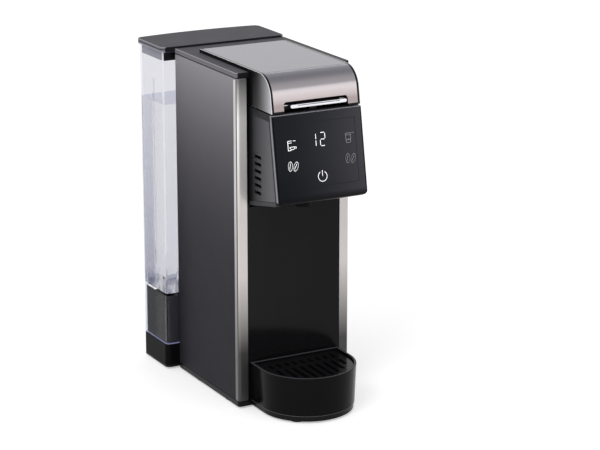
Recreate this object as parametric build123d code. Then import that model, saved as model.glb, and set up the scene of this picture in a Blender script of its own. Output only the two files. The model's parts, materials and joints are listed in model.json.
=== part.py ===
from build123d import *
import math
import os

# A single-cup coffee maker with a water tank behind it. Sizes are in millimetres.
# While it is drawn, x = 0 is the middle of the body, y = 0 is the body's front and z = 0 is the table.
# The front faces -Y. The pieces are moved together as they are written, so that the origin is
# the middle of the whole machine's footprint, on the table.

# Body
body_width = 120.0
body_depth = 130.0
body_height = 328.0
wall = 2.2
corner_radius = 3.0
foot_height = 2.0
base_band = 5.0
base_floor = 2.5
lip_height = 5.0
lip_sheet = 1.6
lip_setback = 12.0
deck_edge = 5.0
deck_arm = 12.8
deck_rear_bar = 24.6
deck_round = 0.7
deck_lip = 5.0
deck_hem = 1.6
deck_hem_drop = 1.0
seam = 0.5
slit_count = 8
slit_pitch = 6.0
slit_height = 2.4
slit_half = 28.0
slit_drop = 62.0

# Gaps between pieces, and how far a cutter runs past what it cuts
press_gap = 0.02
running_gap = 0.05
touch = 0.1
snug = 0.15
side_gap = 0.2
rest_gap = 0.3
moving_gap = 0.6
over = 1.0
ahead = 40.0

# Feet and screws
foot_pad_radius = 7.0
foot_stem_radius = 2.5
foot_boss_wall = 2.5
foot_inset = 9.0
foot_front = 30.0
foot_rear_inset = 38.0
front_foot_spread = 24.0
front_foot_reach = 26.0
dock_foot_side = 14.0
dock_foot_rear = 12.0
screw_inset = 9.0
screw_setback = 14.0
screw_radius = 1.5
screw_reach = 12.0
screw_head_radius = 3.0
screw_head_height = 1.2
post_wall = 2.0
post_height = 16.0
post_web_half = 1.0

# Steel trim and the concave front column
trim_width = 10.3
trim_wrap = 6.8
trim_sheet = 0.6
trim_top_gap = 1.0
column_edge_depth = 0.8
column_hollow = 4.7
ear_lap = 2.0
ear_reach = 5.0

# Head and touch panel
rim_drop = 32.4
rim_height = 6.8
head_lap = 8.0
panel_drop = 0.4
panel_height = 82.2
panel_reach = 43.8
panel_lean = 9.8
underside_fall = 11.6
nose_radius = 5.0
inner_nose = 0.8
bezel_depth = 4.2
bezel_border = 1.2
bezel_lip = 7.0
glass_sheet = 1.4
glass_lip = 5.5
panel_corner = 4.5
corner_round_off = 0.45
touch_width = 80.0
touch_height = 66.0
plug_width = 16.0
plug_height = 6.0
plug_reach = 3.5
plug_window_width = 44.0
plug_window_height = 24.0
vent_count = 6
vent_pitch = 6.83
vent_height = 3.0
vent_length = 13.0
vent_front = -22.0
vent_drop = 73.6

# Lid
lid_rise = 3.0
lid_drop = 31.2
lid_rear_drop = 11.0
lid_rear_gap = 1.4
lid_front_radius = 22.0
lid_rear_radius = 2.0
lid_inner_radius = 0.5
lid_wall = 2.0
lid_border = 1.8
lid_core_drop = 12.0
skin_sheet = 0.7
skin_lift = 1.6
skin_corner = 5.0
skin_rear_inset = 1.0
cover_sheet = 2.0
cover_lift = 0.5
rear_cover_lift = 0.2
hinge_inset = 5.5
hinge_drop = 4.5
hinge_pin_radius = 1.5
hinge_gap = 0.5
knuckle_radius = 3.3
knuckle_width = 10.5
knuckle_root = 2.0
lug_width = 6.0
lug_inset = 6.2
lug_room = 1.2
well_drop = 16.0
chamber_room = 2.0
step_gap = 2.4

# Needle, its seal and the lid's water tube
needle_radius = 1.6
needle_bore = 0.8
needle_reach = 10.5
needle_point = 2.5
needle_point_radius = 0.3
needle_flange = 4.0
needle_flange_sheet = 1.0
seal_radius = 10.0
seal_sheet = 1.2
seal_lip_radius = 7.0
seal_lip_height = 2.6
lid_tube_radius = 2.2
lid_tube_bore = 1.2
lid_tube_rise = 4.2
lid_tube_bend = 3.0

# Latch
recess_half = 33.5
recess_height = 8.0
recess_depth = 9.6
recess_corner = 3.0
latch_half = 29.3
latch_reach = 5.5
latch_rise = 5.2
latch_bar_rise = 1.0
latch_bar_height = 3.2
latch_bar_sheet = 2.0
latch_pin_radius = 1.0
latch_pin_hold = 1.4
latch_barrel_radius = 2.3
latch_barrel_inset = 3.0
latch_room = 0.8
latch_arm_inset = 5.0
latch_arm_width = 4.0
latch_arm_half = 1.2
latch_spring_gap = 0.3
tongue_half = 4.0
tongue_front = 0.5
tongue_rear = 0.9
tongue_lift = 2.0
catch_half = 5.0
catch_gap = 1.4
catch_sheet = 1.0
catch_relief_half = 6.0
catch_relief_wall = 0.8

# Lid switch and water coupling
switch_inset = 9.2
switch_y = 70.0
switch_half = 6.0
switch_half_length = 10.0
switch_height = 12.0
plunger_radius = 1.5
plunger_depth = 8.0
plunger_travel = 1.5
coupling_x = -20.0
coupling_y = 50.0
coupling_radius = 4.0
coupling_bore = 1.6
coupling_drop = 8.0
coupling_flange = 3.0
coupling_flange_sheet = 1.5

# Pod holder, funnel and spout
pod_centre_y = -4.0
pod_radius = 25.2
pod_depth = 44.0
pod_taper = 3.0
pod_wall = 1.8
pod_flange = 3.8
pod_flange_sheet = 2.0
drain_radius = 4.5
drain_bore = 2.6
drain_length = 4.0
point_x = 11.0
point_radius = 1.3
point_stem = 6.0
point_tip = 4.0
point_tip_radius = 0.2
point_flange = 3.0
point_flange_sheet = 1.5
funnel_radius = 15.0
funnel_wall = 1.8
spout_y = -18.0
spout_bore = 4.2
spout_wall = 3.4
spout_reach = 5.5
spout_rise = 15.0
collar_reach = 3.0
collar_sheet = 1.5

# Drip tray
tray_radius = 47.9
tray_reach = 72.3
tray_rear = 0.4
tray_height = 38.7
tray_taper = 1.6
tray_wall = 2.6
tray_round = 0.8
grille_depth = 2.3
grille_sheet = 2.5
grille_ledge = 2.0
slot_width = 4.0
slot_pitch = 8.4
slot_margin = 7.0
slot_rear_margin = 8.0
slot_end_gap = 0.05
grille_rib_half = 3.0
foot_radius = 45.5
foot_rear = 1.0

# Tank and its dock
tank_gap = 4.0
tank_depth = 54.0
tank_bow = 5.0
tank_overhang = 12.0
tank_right_inset = 0.5
tank_wall = 2.2
tank_corner = 5.0
tank_inner_corner = 0.8
tank_lid_rise = 1.7
tank_lid_sheet = 5.0
tank_lid_skirt = 9.4
tank_lid_skirt_sheet = 1.6
tank_lid_overhang = 1.6
tank_lid_round = 0.8
tank_rib_reach = 1.8
tank_rib_half = 1.0
tank_rib_drop = 30.0
dock_block = 22.0
dock_plinth = 50.0
dock_foot = 2.0
bridge_inset = 10.5
bridge_sheet = 2.0
bridge_side = 2.5
duct_height = 11.0

# Tank valve and its socket
valve_radius = 9.0
valve_setback = 26.0
valve_side_room = 2.8
valve_stem_radius = 1.5
valve_stem_reach = 4.9
valve_stem_rise = 12.8
valve_plug_radius = 5.8
valve_plug_lift = 1.6
valve_plug_sheet = 2.0
valve_nose_radius = 6.3
valve_nose_reach = 8.6
valve_throat = 4.5
valve_chamber = 7.0
cage_height = 12.0
cage_roof = 2.0
cage_hole_count = 4
cage_hole_radius = 1.3
cage_hole_ring = 5.0
spring_radius = 3.0
spring_wall = 0.8
guard_gap = 2.7
guard_wall = 1.8
guard_height = 7.0
tank_hole_gap = 0.2
filter_wall = 1.6
filter_gap = 0.6
filter_height = 16.8
filter_window_width = 5.0
filter_window_height = 9.0
filter_window_rise = 8.5
filter_window_count = 6
socket_wall = 2.0
socket_depth = 12.0
socket_floor = 4.0
socket_stub = 10.0
socket_pin_gap = 0.3
socket_port_count = 3
socket_port_radius = 0.7
socket_port_ring = 2.3
socket_seal_height = 3.0
socket_seal_bore = 4.0

# Gland of the mains lead
gland_inset = 23.5
gland_rise = 9.0
gland_setback = 4.0
gland_neck = 5.6
gland_grip = 6.0
gland_flange = 1.9
gland_flange_sheet = 3.0
gland_room = 8.0
gland_wall_sheet = 3.0
cord_bore = 3.9

# Pump
pump_y = 45.0
pump_coil = 34.0
pump_coil_height = 42.0
pump_coil_round = 3.0
pump_floor = 33.5
pump_bore = 1.2
pump_inlet_drop = 9.0
pump_neck_radius = 8.0
pump_neck_height = 9.0
pump_outlet_height = 11.0
mount_radius = 12.0
mount_height = 4.5
bracket_sheet = 1.5
bracket_half = 14.0
bracket_foot = 6.0
bracket_hole_gap = 1.4
armature_radius = 6.2
armature_length = 16.0
piston_room = 4.5
pump_spring_gap = 0.8
pump_spring_wall = 1.0

# Heater
boiler_inset = 46.0
boiler_setback = 52.0
boiler_radius = 24.0
boiler_height = 109.0
boiler_round = 6.0
boiler_stub = 11.0
boiler_bore = 1.5
pad_root = 8.0
pad_stand = 0.5
pad_half = 9.0
pad_rise = 20.0
pad_height = 22.0
band_height = 10.0
band_inset = 8.0
band_tab_half = 6.0
thermostat_radius = 8.0
thermostat_cap_radius = 5.0
thermostat_sheet = 4.0
fuse_radius = 2.5
fuse_length = 28.0

# Flow meter
meter_setback = 32.0
meter_radius = 14.0
meter_stand = 1.5
meter_height = 19.0
meter_sheet = 1.0
meter_roof = 2.0
port_reach = 6.0
axle_radius = 1.0
hub_radius = 3.0
blade_sheet = 1.2
blade_gap = 0.8
wheel_gap = 0.4

# Hoses and their clips
hose_radius = 3.4
hose_wall = 1.2
hose_bore = 2.4
pressure_stub = 3.0
pressure_wall = 1.35
inlet_bend = 12.0
pump_hose_bend = 10.0
hose_bend = 9.0
hose_lap = 8.0
clip_height = 3.0
clip_sheet = 1.0
clip_setback = 3.0

# Power board and leads
board_height = 80.0
board_length = 80.0
board_sheet = 1.6
board_floor = 40.0
board_y = 30.0
board_stand = 6.5
board_screw_inset = 5.0
board_screw_radius = 0.95
board_screw_head_radius = 2.2
board_screw_head_height = 1.4
board_post_radius = 3.0
relay_size = (15.0, 18.0, 28.0)
relay_place = (14.0, 12.0)
terminal_size = (10.0, 22.0, 8.0)
terminal_place = (50.0, 14.0)
fin_size = (18.0, 3.0, 24.0)
fin_place = (46.0, 44.0)
capacitor_radius = 5.5
capacitor_depth = 16.0
capacitor_places = ((26.0, 60.0), (40.0, 60.0))
mains_radius = 2.4
mains_bend = 8.0
signal_radius = 1.8
signal_bend = 8.0
signal_tight_bend = 4.0

# Places that follow from the sizes above
half = body_width / 2
base_top = foot_height + base_band
pan_floor = foot_height + base_floor
lip_top = base_top + lip_height
panels_top = body_height - deck_edge - seam
deck_bottom = body_height - deck_edge
opening_half = half - deck_arm
opening_rear = body_depth - deck_rear_bar
column_half = half - trim_width - snug
column_back = column_edge_depth + 2 * wall
head_half = opening_half - moving_gap
head_rear = column_back + head_lap
rim_top = body_height - rim_drop
chamber_bottom = rim_top - rim_height
chamber_floor = chamber_bottom + wall
panel_top = rim_top - panel_drop
panel_bottom = panel_top - panel_height
lean = math.tan(math.radians(panel_lean))
fall = math.tan(math.radians(underside_fall))
lean_stretch = 1 / math.cos(math.radians(panel_lean))
fall_stretch = 1 / math.cos(math.radians(underside_fall))
lid_top = body_height + lid_rise
lid_bottom = body_height - lid_drop
lid_rear_bottom = body_height - lid_rear_drop
lid_rear = opening_rear - lid_rear_gap
skin_half = head_half - lid_border
skin_rear = lid_rear - skin_rear_inset
cover_low = lid_bottom + cover_lift
cover_top = cover_low + cover_sheet
rear_cover_top = lid_rear_bottom + rear_cover_lift + cover_sheet
well_floor = body_height - well_drop
well_under = well_floor - wall
hinge_y = lid_rear - hinge_inset
hinge_z = lid_top - hinge_drop
hinge = (hinge_y, hinge_z)
lug_x = (opening_half - lug_inset - lug_width, opening_half - lug_inset)
pocket_x = (lug_x[0] - hinge_gap, lug_x[1] + hinge_gap)
knuckle_x = (pocket_x[0] - knuckle_width, pocket_x[0])
pod_spot = (0, pod_centre_y)
chamber_rear = pod_centre_y + pod_radius + pod_flange + chamber_room
step_y = chamber_rear - step_gap
pod_outer = pod_radius + wall - moving_gap
pod_top = chamber_floor + pod_flange_sheet
pod_bottom = pod_top - pod_depth
spout_spot = (0, spout_y)
spout_radius = spout_bore + spout_wall
switch_spot = (opening_half - switch_inset, switch_y)
coupling_spot = (coupling_x, coupling_y)
plug_back = bezel_depth + plug_reach
tray_centre_y = tray_radius - tray_reach
tray_floor = base_top
tray_rim = tray_floor + tray_height
foot_top = tray_floor - rest_gap
tank_left = -half - tank_overhang
tank_right = half - tank_right_inset
tank_middle = (tank_left + tank_right) / 2
tank_front = body_depth + tank_gap
tank_side_rear = tank_front + tank_depth
dock_bottom = foot_height + dock_foot
dock_top = dock_bottom + dock_block
plinth_top = dock_top + dock_plinth
tank_bottom = dock_top + rest_gap
tank_floor = plinth_top + rest_gap + tank_wall
tank_lid_top = body_height + tank_lid_rise
tank_lid_bottom = tank_lid_top - tank_lid_sheet
tank_top = tank_lid_bottom - rest_gap
bridge_half = half - bridge_inset
bridge_bottom = base_top + touch
duct_bottom = bridge_bottom + bridge_sheet
duct_top = duct_bottom + duct_height
duct_middle = (duct_bottom + duct_top) / 2
works_x = -half + wall + valve_side_room + pump_coil / 2
valve = (works_x, tank_front + valve_setback)
socket_bottom = plinth_top - socket_depth
pump_spot = (works_x, pump_y)
coil_low = pump_floor + mount_height
coil_high = coil_low + pump_coil_height
pump_top = coil_high + pump_neck_height + pump_outlet_height
armature_low = coil_low + (pump_coil_height - armature_length) / 2
meter_y = body_depth - meter_setback
meter_spot = (works_x, meter_y)
meter_low = pan_floor + meter_stand
boiler_spot = (half - boiler_inset, body_depth - boiler_setback)
boiler_floor = (pump_top + well_floor - boiler_height) / 2
boiler_top = boiler_floor + boiler_height
hose_fit = hose_radius - running_gap
board_x = half - wall - board_stand
gland_x = tank_right - gland_inset
gland_y = tank_side_rear - gland_setback
gland_z = dock_bottom + gland_rise


def block(x, y, z):
    """A box from its x, y and z ranges."""
    ranges = (x, y, z)
    size = [end - start for start, end in ranges]
    middle = [(start + end) / 2 for start, end in ranges]
    return Pos(*middle) * Box(*size)


def upright(centre, radius, z):
    """A round bar that stands at centre (x, y)."""
    return Pos(centre[0], centre[1], (z[0] + z[1]) / 2) * Cylinder(radius, z[1] - z[0])


def crosswise(centre, radius, x):
    """A round bar along X through centre (y, z)."""
    return Pos((x[0] + x[1]) / 2, *centre) * Rot(0, 90, 0) * Cylinder(radius, x[1] - x[0])


def lengthwise(centre, radius, y):
    """A round bar along Y through centre (x, z)."""
    return Pos(centre[0], (y[0] + y[1]) / 2, centre[1]) * Rot(90, 0, 0) * Cylinder(radius, y[1] - y[0])


def pointed(centre, low_radius, high_radius, z):
    """A round cone that stands at centre (x, y)."""
    return Pos(centre[0], centre[1], (z[0] + z[1]) / 2) * Cone(low_radius, high_radius, z[1] - z[0])


def around(centre, radius, count, start=0.0):
    """The spots of a ring of count holes round centre (x, y), the first at start degrees."""
    turns = [math.radians(start + 360 * step / count) for step in range(count)]
    return [(centre[0] + radius * math.cos(turn), centre[1] + radius * math.sin(turn)) for turn in turns]


def both_sides(shape):
    """The shape and its mirror image across the middle of the body."""
    return shape + mirror(shape, Plane.YZ)


def outline(corners):
    """A closed face from corners (u, v), or (u, v, radius) where one is rounded."""
    points = [corner[:2] for corner in corners]
    radii = [corner[2] if len(corner) > 2 else 0 for corner in corners]
    return make_face(FilletPolyline(*points, radius=radii, close=True))


def side_slab(face, half_width):
    """A solid with the side outline (y, z), as wide as half_width to each side."""
    return extrude(Plane.YZ * face, amount=half_width, both=True)


def plan_slab(face, z):
    """A solid with the plan outline (x, y), over the range z."""
    return extrude(Pos(0, 0, z[0]) * face, amount=z[1] - z[0])


def tube(points, bends, radius, bore=0.0):
    """A hose along points, with one bend radius for each inner point."""
    path = FilletPolyline(*points, radius=bends)
    section = Circle(radius) - Circle(bore) if bore else Circle(radius)
    return sweep(Plane(path @ 0, z_dir=path % 0) * section, path=path)


def front_y(z, depth=0.0):
    """The y of the sloping front of the head and lid at height z, a depth behind its face."""
    return -panel_reach + (z - panel_top) * lean + depth * lean_stretch


def underside_z(y, depth=0.0):
    """The z of the head's sloping underside at y, a depth above its face."""
    return panel_bottom - (y - front_y(panel_bottom)) * fall + depth * fall_stretch


def nose(depth):
    """Where the head's front and underside meet, both moved in by depth."""
    front_at_zero = front_y(0, depth)
    underside_at_zero = underside_z(0, depth)
    z = (underside_at_zero - fall * front_at_zero) / (1 + fall * lean)
    return (front_y(z, depth), z)


def head_side(depth, rear, top):
    """The head's side outline, its front and underside moved in by depth."""
    y, z = nose(depth)
    return outline([
        (rear, underside_z(rear, depth)),
        (y, z, max(nose_radius - depth, inner_nose)),
        (front_y(top, depth), top),
        (rear, top),
    ])


def lid_side(depth, bottom, rear_bottom, step):
    """The lid's side outline, its front, top and rear moved in by depth."""
    top = lid_top - depth
    rear = lid_rear - depth
    corners = [
        (front_y(bottom, depth), bottom),
        (front_y(top, depth), top, lid_front_radius - depth),
        (rear, top, max(lid_rear_radius - depth, lid_inner_radius)),
        (rear, rear_bottom),
    ]
    if rear_bottom > bottom:
        corners += [(step, rear_bottom), (step, bottom)]
    return outline(corners)


def body_outline(inset=0.0, radius=corner_radius):
    """The body's plan, with its two front corners rounded."""
    edge = half - inset
    rounding = max(radius - inset, rest_gap)
    return outline([
        (-edge, inset, rounding),
        (edge, inset, rounding),
        (edge, body_depth - inset),
        (-edge, body_depth - inset),
    ])


def body_ring(inset, sheet, z):
    """A wall that runs round the body's plan, an inset behind its face."""
    return plan_slab(body_outline(inset), z) - plan_slab(body_outline(inset + sheet), z)


def tank_outline(inset=0.0, front=tank_front):
    """The tank's plan: flat front and sides, a bowed rear and rounded corners."""
    left, right = tank_left + inset, tank_right - inset
    near, far = front + inset, tank_side_rear - inset
    sides = Polyline((left, far), (left, near), (right, near), (right, far))
    rear = ThreePointArc((right, far), (tank_middle, far + tank_bow), (left, far))
    face = make_face(sides + rear)
    return fillet(face.vertices(), max(tank_corner - inset, tank_inner_corner))


def tray_outline(radius, rear=tray_rear):
    """The tray's plan: a half circle in front and straight sides behind it."""
    left, right = (-radius, tray_centre_y), (radius, tray_centre_y)
    sides = Polyline(left, (-radius, rear), (radius, rear), right)
    front = ThreePointArc(right, (0, tray_centre_y - radius), left)
    return make_face(sides + front)


panel_plane = Plane(
    origin=(0, front_y(panel_top), panel_top),
    x_dir=(1, 0, 0),
    z_dir=(0, -1 / lean_stretch, math.sin(math.radians(panel_lean))),
)


def on_panel(depths, width, height):
    """A box in the middle of the touch panel, between two depths behind its face."""
    near, far = depths
    return panel_plane * Pos(0, -panel_height / 2, -(near + far) / 2) * Box(width, height, far - near)


# Base

foot_spots = [
    (side * (half - foot_inset), y) for side in (-1, 1) for y in (foot_front, body_depth - foot_rear_inset)
]
front_foot_spots = [(side * front_foot_spread, tray_centre_y - front_foot_reach) for side in (-1, 1)]
dock_foot_spots = [
    (x, tank_side_rear - dock_foot_rear) for x in (tank_left + dock_foot_side, tank_right - dock_foot_side)
]
screw_spots = [
    (side * (half - screw_inset), y) for side in (-1, 1) for y in (screw_setback, body_depth - screw_setback)
]


def make_base_pan():
    """Floor of the body, its visible band, and the half-round plate under the drip tray."""
    pan = plan_slab(body_outline(), (foot_height, base_top))
    pan -= plan_slab(body_outline(wall), (pan_floor, base_top))
    lip = body_ring(wall + snug, lip_sheet, (pan_floor, lip_top))
    lip &= block((-half, half), (lip_setback, body_depth - lip_setback), (pan_floor, lip_top))
    plate = plan_slab(tray_outline(foot_radius, foot_rear), (foot_height, foot_top))
    plate -= plan_slab(tray_outline(foot_radius - wall, -wall), (foot_height, foot_top - wall))
    pan += lip + plate
    for spot in foot_spots:
        pan -= upright(spot, foot_stem_radius + snug, (foot_height, pan_floor))
    for spot in front_foot_spots:
        pan += upright(spot, foot_stem_radius + foot_boss_wall, (foot_height, foot_top))
        pan -= upright(spot, foot_stem_radius + snug, (foot_height, foot_top - wall))
    for spot in screw_spots:
        pan -= upright(spot, screw_radius + snug, (foot_height, pan_floor))
        pan -= upright(spot, screw_head_radius + rest_gap, (foot_height, foot_height + screw_head_height))
    return pan


def make_rubber_feet():
    """Eight push-in rubber feet."""
    feet = []
    for spots, stem_top in ((foot_spots + front_foot_spots, pan_floor), (dock_foot_spots, dock_bottom)):
        for spot in spots:
            pad = upright(spot, foot_pad_radius, (0, foot_height))
            feet.append(pad + upright(spot, foot_stem_radius, (0, stem_top)))
    return Compound(children=feet)


def make_base_screws():
    """Four screws up through the pan into the side panels."""
    screws = []
    low = foot_height + touch
    for spot in screw_spots:
        head = upright(spot, screw_head_radius, (low, foot_height + screw_head_height))
        screws.append(head + upright(spot, screw_radius, (low, base_top + screw_reach)))
    return screws


# Body shell

def make_side_panel():
    """The left side panel: a moulded C with a rebate for the steel trim and two screw posts."""
    bottom = base_top + rest_gap
    z = (bottom, panels_top)
    panel = body_ring(0, wall, z)
    panel -= block((-half + trim_width, half), (-over, body_depth + over), z)
    panel -= body_ring(0, trim_sheet + touch, z) & block((-half, half), (0, trim_wrap + touch), z)
    post_top = base_top + post_height
    for x, y in screw_spots[:2]:
        post = upright((x, y), screw_radius + post_wall, (bottom, post_top))
        web_y = (y - post_web_half, y + post_web_half)
        post += block((-half + wall / 2, x), web_y, (lip_top + rest_gap, post_top))
        panel += post - upright((x, y), screw_radius + press_gap, (bottom, base_top + screw_reach))
    return panel


def make_right_side_panel():
    """The right side panel, which also carries the posts of the power board."""
    panel = mirror(make_side_panel(), Plane.YZ)
    for spot in board_screw_spots():
        panel += crosswise(spot, board_post_radius, (board_x + board_sheet, half - wall / 2))
        panel -= crosswise(spot, board_screw_radius + running_gap, (board_x - over, half - wall))
    return panel


def make_trim_strip():
    """The left brushed steel strip, folded round the body's front corner."""
    z = (base_top + seam, panels_top - trim_top_gap)
    strip = body_ring(0, trim_sheet, z)
    strip -= block((-half + trim_width, half), (-over, body_depth + over), z)
    strip -= block((-half - over, half), (trim_wrap, body_depth + over), z)
    return strip


def column_outline(depth):
    """A line of the column's concave front, moved back by depth."""
    edge_y = column_edge_depth + depth
    return ThreePointArc(
        (-column_half, edge_y), (0, edge_y + column_hollow), (column_half, edge_y)
    )


def make_front_column():
    """The gloss black panel between the trims, with a notch for the head."""
    ear_y = column_edge_depth + wall
    ends = [Line((x, column_edge_depth), (x, ear_y)) for x in (-column_half, column_half)]
    face = make_face(column_outline(0) + column_outline(wall) + ends[0] + ends[1])
    z = (base_top + touch, panels_top)
    column = plan_slab(face, z)
    column += both_sides(block((head_half - ear_lap, column_half + ear_reach), (ear_y, column_back), z))
    notch_half = head_half + side_gap
    notch_floor = underside_z(column_back + column_hollow) - panel_drop
    return column - block((-notch_half, notch_half), (-over, head_rear + over), (notch_floor, panels_top))


def make_rear_panel():
    """The back wall between the side panels, with a slot for hoses and leads and cooling slits."""
    y = (body_depth - wall - snug - wall, body_depth - wall - snug)
    through = (y[0] - over, y[1] + over)
    panel = block((-half + wall + snug, half - wall - snug), y, (pan_floor, panels_top))
    duct_half = bridge_half - bridge_side
    panel -= block((-duct_half, duct_half), through, (duct_bottom, duct_top))
    for step in range(slit_count):
        low = panels_top - slit_drop + step * slit_pitch
        panel -= block((-slit_half, slit_half), through, (low, low + slit_height))
    return panel


def make_top_deck():
    """The deck frame round the lid's opening, open at the front, with a lip inside the panels."""
    deck = plan_slab(body_outline(0, corner_radius + seam), (deck_bottom, body_height))
    deck = fillet(deck.faces().sort_by(Axis.Z)[-1].edges(), deck_round)
    lip_bottom = deck_bottom - deck_lip
    roof = body_height - wall
    deck -= plan_slab(body_outline(wall + snug), (deck_bottom, roof))
    lip = body_ring(wall + snug, lip_sheet, (lip_bottom, roof))
    for y in ((0, lip_setback), (body_depth - lip_setback, body_depth)):
        lip -= block((-half, half), y, (lip_bottom - over, deck_bottom))
    deck += lip
    hem_half = opening_half + deck_hem
    deck += block((-hem_half, hem_half), (side_gap, opening_rear + deck_hem),
                  (deck_bottom, body_height - deck_hem_drop))
    return deck - block((-opening_half, opening_half), (-over, opening_rear),
                        (lip_bottom - over, body_height + over))


# Head

def rim_side(low, high, depth, rear):
    """The side outline of the head's rim between two heights, a depth behind the front."""
    return outline([(front_y(low, depth), low), (front_y(high, depth), high), (rear, high), (rear, low)])


def make_brew_deck():
    """The well under the lid: rim of the head, pod chamber, rear well, hinge lugs and catch."""
    front = bezel_depth + snug
    side = opening_half
    outer = side + wall
    back = column_back
    deck = side_slab(rim_side(chamber_bottom, rim_top, front, back), head_half)
    deck += block((-outer, outer), (back, chamber_rear + wall), (chamber_bottom, deck_bottom))
    deck += block((-outer, outer), (back, opening_rear + wall), (well_under, deck_bottom))
    deck -= side_slab(rim_side(chamber_floor, rim_top + over, front + wall, back + over), head_half - wall)
    deck -= block((-side, side), (back - over, chamber_rear), (rim_top, deck_bottom + over))
    deck -= block((-side, side), (back, chamber_rear), (chamber_floor, deck_bottom + over))
    deck -= block((-side, side), (back - over, opening_rear), (well_floor, deck_bottom + over))
    relief_y = front_y(chamber_floor, front + catch_relief_wall)
    relief_x = (-catch_relief_half, catch_relief_half)
    deck -= block(relief_x, (relief_y, latch_y), (chamber_floor, rim_top + over))
    catch_y = latch_y + catch_gap
    catch = (catch_y, catch_y + catch_sheet)
    deck += block((-catch_half, catch_half), catch, (chamber_bottom, rim_top - over))
    lug = crosswise(hinge, knuckle_radius, lug_x)
    lug += block(lug_x, (hinge_y - knuckle_radius, hinge_y), (well_floor - hinge_gap, hinge_z))
    deck += both_sides(lug)
    deck -= crosswise(hinge, hinge_pin_radius + press_gap, (-lug_x[1] - over, lug_x[1] + over))
    deck -= upright(pod_spot, pod_radius + wall, (chamber_bottom - over, chamber_floor + over))
    deck -= upright(switch_spot, plunger_radius + touch, (well_under - over, well_floor + over))
    deck -= upright(coupling_spot, coupling_radius + snug, (well_under - over, well_floor + over))
    return deck


def spout_hole():
    """The cutter of the spout's hole in the floor of the head."""
    floor = underside_z(spout_y)
    return upright(spout_spot, spout_radius + rest_gap, (floor - spout_rise, floor + spout_rise))


def make_head_housing():
    """The head's shell: sides with vents, front wall behind the panel and sloping floor."""
    front = bezel_depth + snug
    side = head_half + over
    shell = side_slab(head_side(front, head_rear, chamber_bottom), head_half)
    shell -= side_slab(head_side(front + wall, head_rear + over, chamber_bottom + over), head_half - wall)
    for step in range(vent_count):
        z = chamber_bottom - vent_drop + step * vent_pitch
        shell -= block((-side, side), (vent_front, vent_front + vent_length), (z, z + vent_height))
    shell -= on_panel((front - wall, front + 2 * wall), plug_window_width, plug_window_height)
    return shell - spout_hole()


def make_head_bottom_cover():
    """The tray-shaped cover under the head, with a hole for the spout."""
    front = front_y(panel_bottom) + bezel_lip + side_gap
    high = panel_bottom + bezel_depth
    cover = side_slab(head_side(0, head_rear, chamber_bottom), head_half)
    cover -= side_slab(head_side(bezel_depth, head_rear + over, chamber_bottom + over), head_half + over)
    cover &= block((-half, half), (front, head_rear), (0, high))
    hollow = side_slab(head_side(wall, head_rear - wall, chamber_bottom), head_half - wall)
    cover -= hollow & block((-half, half), (front + wall, head_rear), (0, high))
    return cover - spout_hole()


def panel_layer(outer, inner, border, lip):
    """A bent sheet of the head's front between two depths, cut to the panel's outline."""
    top = panel_top - border / 2
    layer = side_slab(head_side(outer, 0, top), head_half - border)
    layer -= side_slab(head_side(inner, over, top + nose_radius), head_half + over)
    lip_end = front_y(panel_bottom) + lip
    layer -= block((-half, half), (lip_end, over), (0, panel_bottom + bezel_lip + over))
    y, z = nose(0)
    corner = panel_corner - border / 2
    corner_x = head_half - border - corner
    corner_z = z + corner - corner_round_off
    through = (y - over - bezel_depth, y + bezel_lip + nose_radius)
    cut = block((corner_x, half), through, (z - panel_height / 2, corner_z))
    cut -= lengthwise((corner_x, corner_z), corner, through)
    return layer - both_sides(cut)


def make_control_panel():
    """The glass of the touch panel, which bends under at its lower edge."""
    return panel_layer(0, glass_sheet, bezel_border, glass_lip)


def make_panel_bezel():
    """The frame that holds the glass, with a window for the touch board."""
    bezel = panel_layer(0, bezel_depth, 0, bezel_lip) - make_control_panel()
    window = on_panel((glass_sheet + rest_gap, 2 * bezel_depth), touch_width, touch_height)
    return bezel - window


def make_touch_board():
    """The board with the touch pads and the lamps, just behind the glass."""
    face = glass_sheet + rest_gap
    board = on_panel((face, face + board_sheet), touch_width - 2 * snug, touch_height - 2 * snug)
    return board + on_panel((face + board_sheet / 2, plug_back), plug_width, plug_height)


# Pod holder, funnel and spout

def make_pod_holder():
    """The lift-out cup that holds the coffee, tapered, with a flange and a drain."""
    cup = pointed(pod_spot, pod_outer - pod_taper, pod_outer, (pod_bottom, chamber_floor))
    cup += upright(pod_spot, pod_radius + pod_flange, (chamber_floor, pod_top))
    bowl = (pod_bottom + wall, pod_top + over)
    cup -= pointed(pod_spot, pod_outer - pod_taper - pod_wall, pod_outer - pod_wall, bowl)
    cup += upright(pod_spot, drain_radius, (pod_bottom - drain_length, pod_bottom + over))
    return cup - upright(pod_spot, drain_bore, (pod_bottom - drain_length - over, pod_bottom + wall + over))


def make_lower_needle():
    """The hollow steel point in the floor of the pod holder."""
    spot = (point_x, pod_centre_y)
    base = pod_bottom + wall
    stem_top = base + point_stem
    needle = upright(spot, point_flange, (base, base + point_flange_sheet))
    needle += upright(spot, point_radius, (base, stem_top))
    return needle + pointed(spot, point_radius, point_tip_radius, (stem_top, stem_top + point_tip))


spout_top = underside_z(spout_y) + spout_rise


def make_brew_funnel():
    """The funnel that leads the coffee forward to the spout."""
    top = pod_bottom - rest_gap

    def cone(shrink, past):
        rim = Pos(0, pod_centre_y, top + past) * Circle(funnel_radius - shrink)
        neck = Pos(0, spout_y, spout_top - past) * Circle(spout_radius - shrink)
        return loft([rim.face(), neck.face()], ruled=True)

    return cone(0, 0) - cone(funnel_wall, press_gap)


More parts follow.
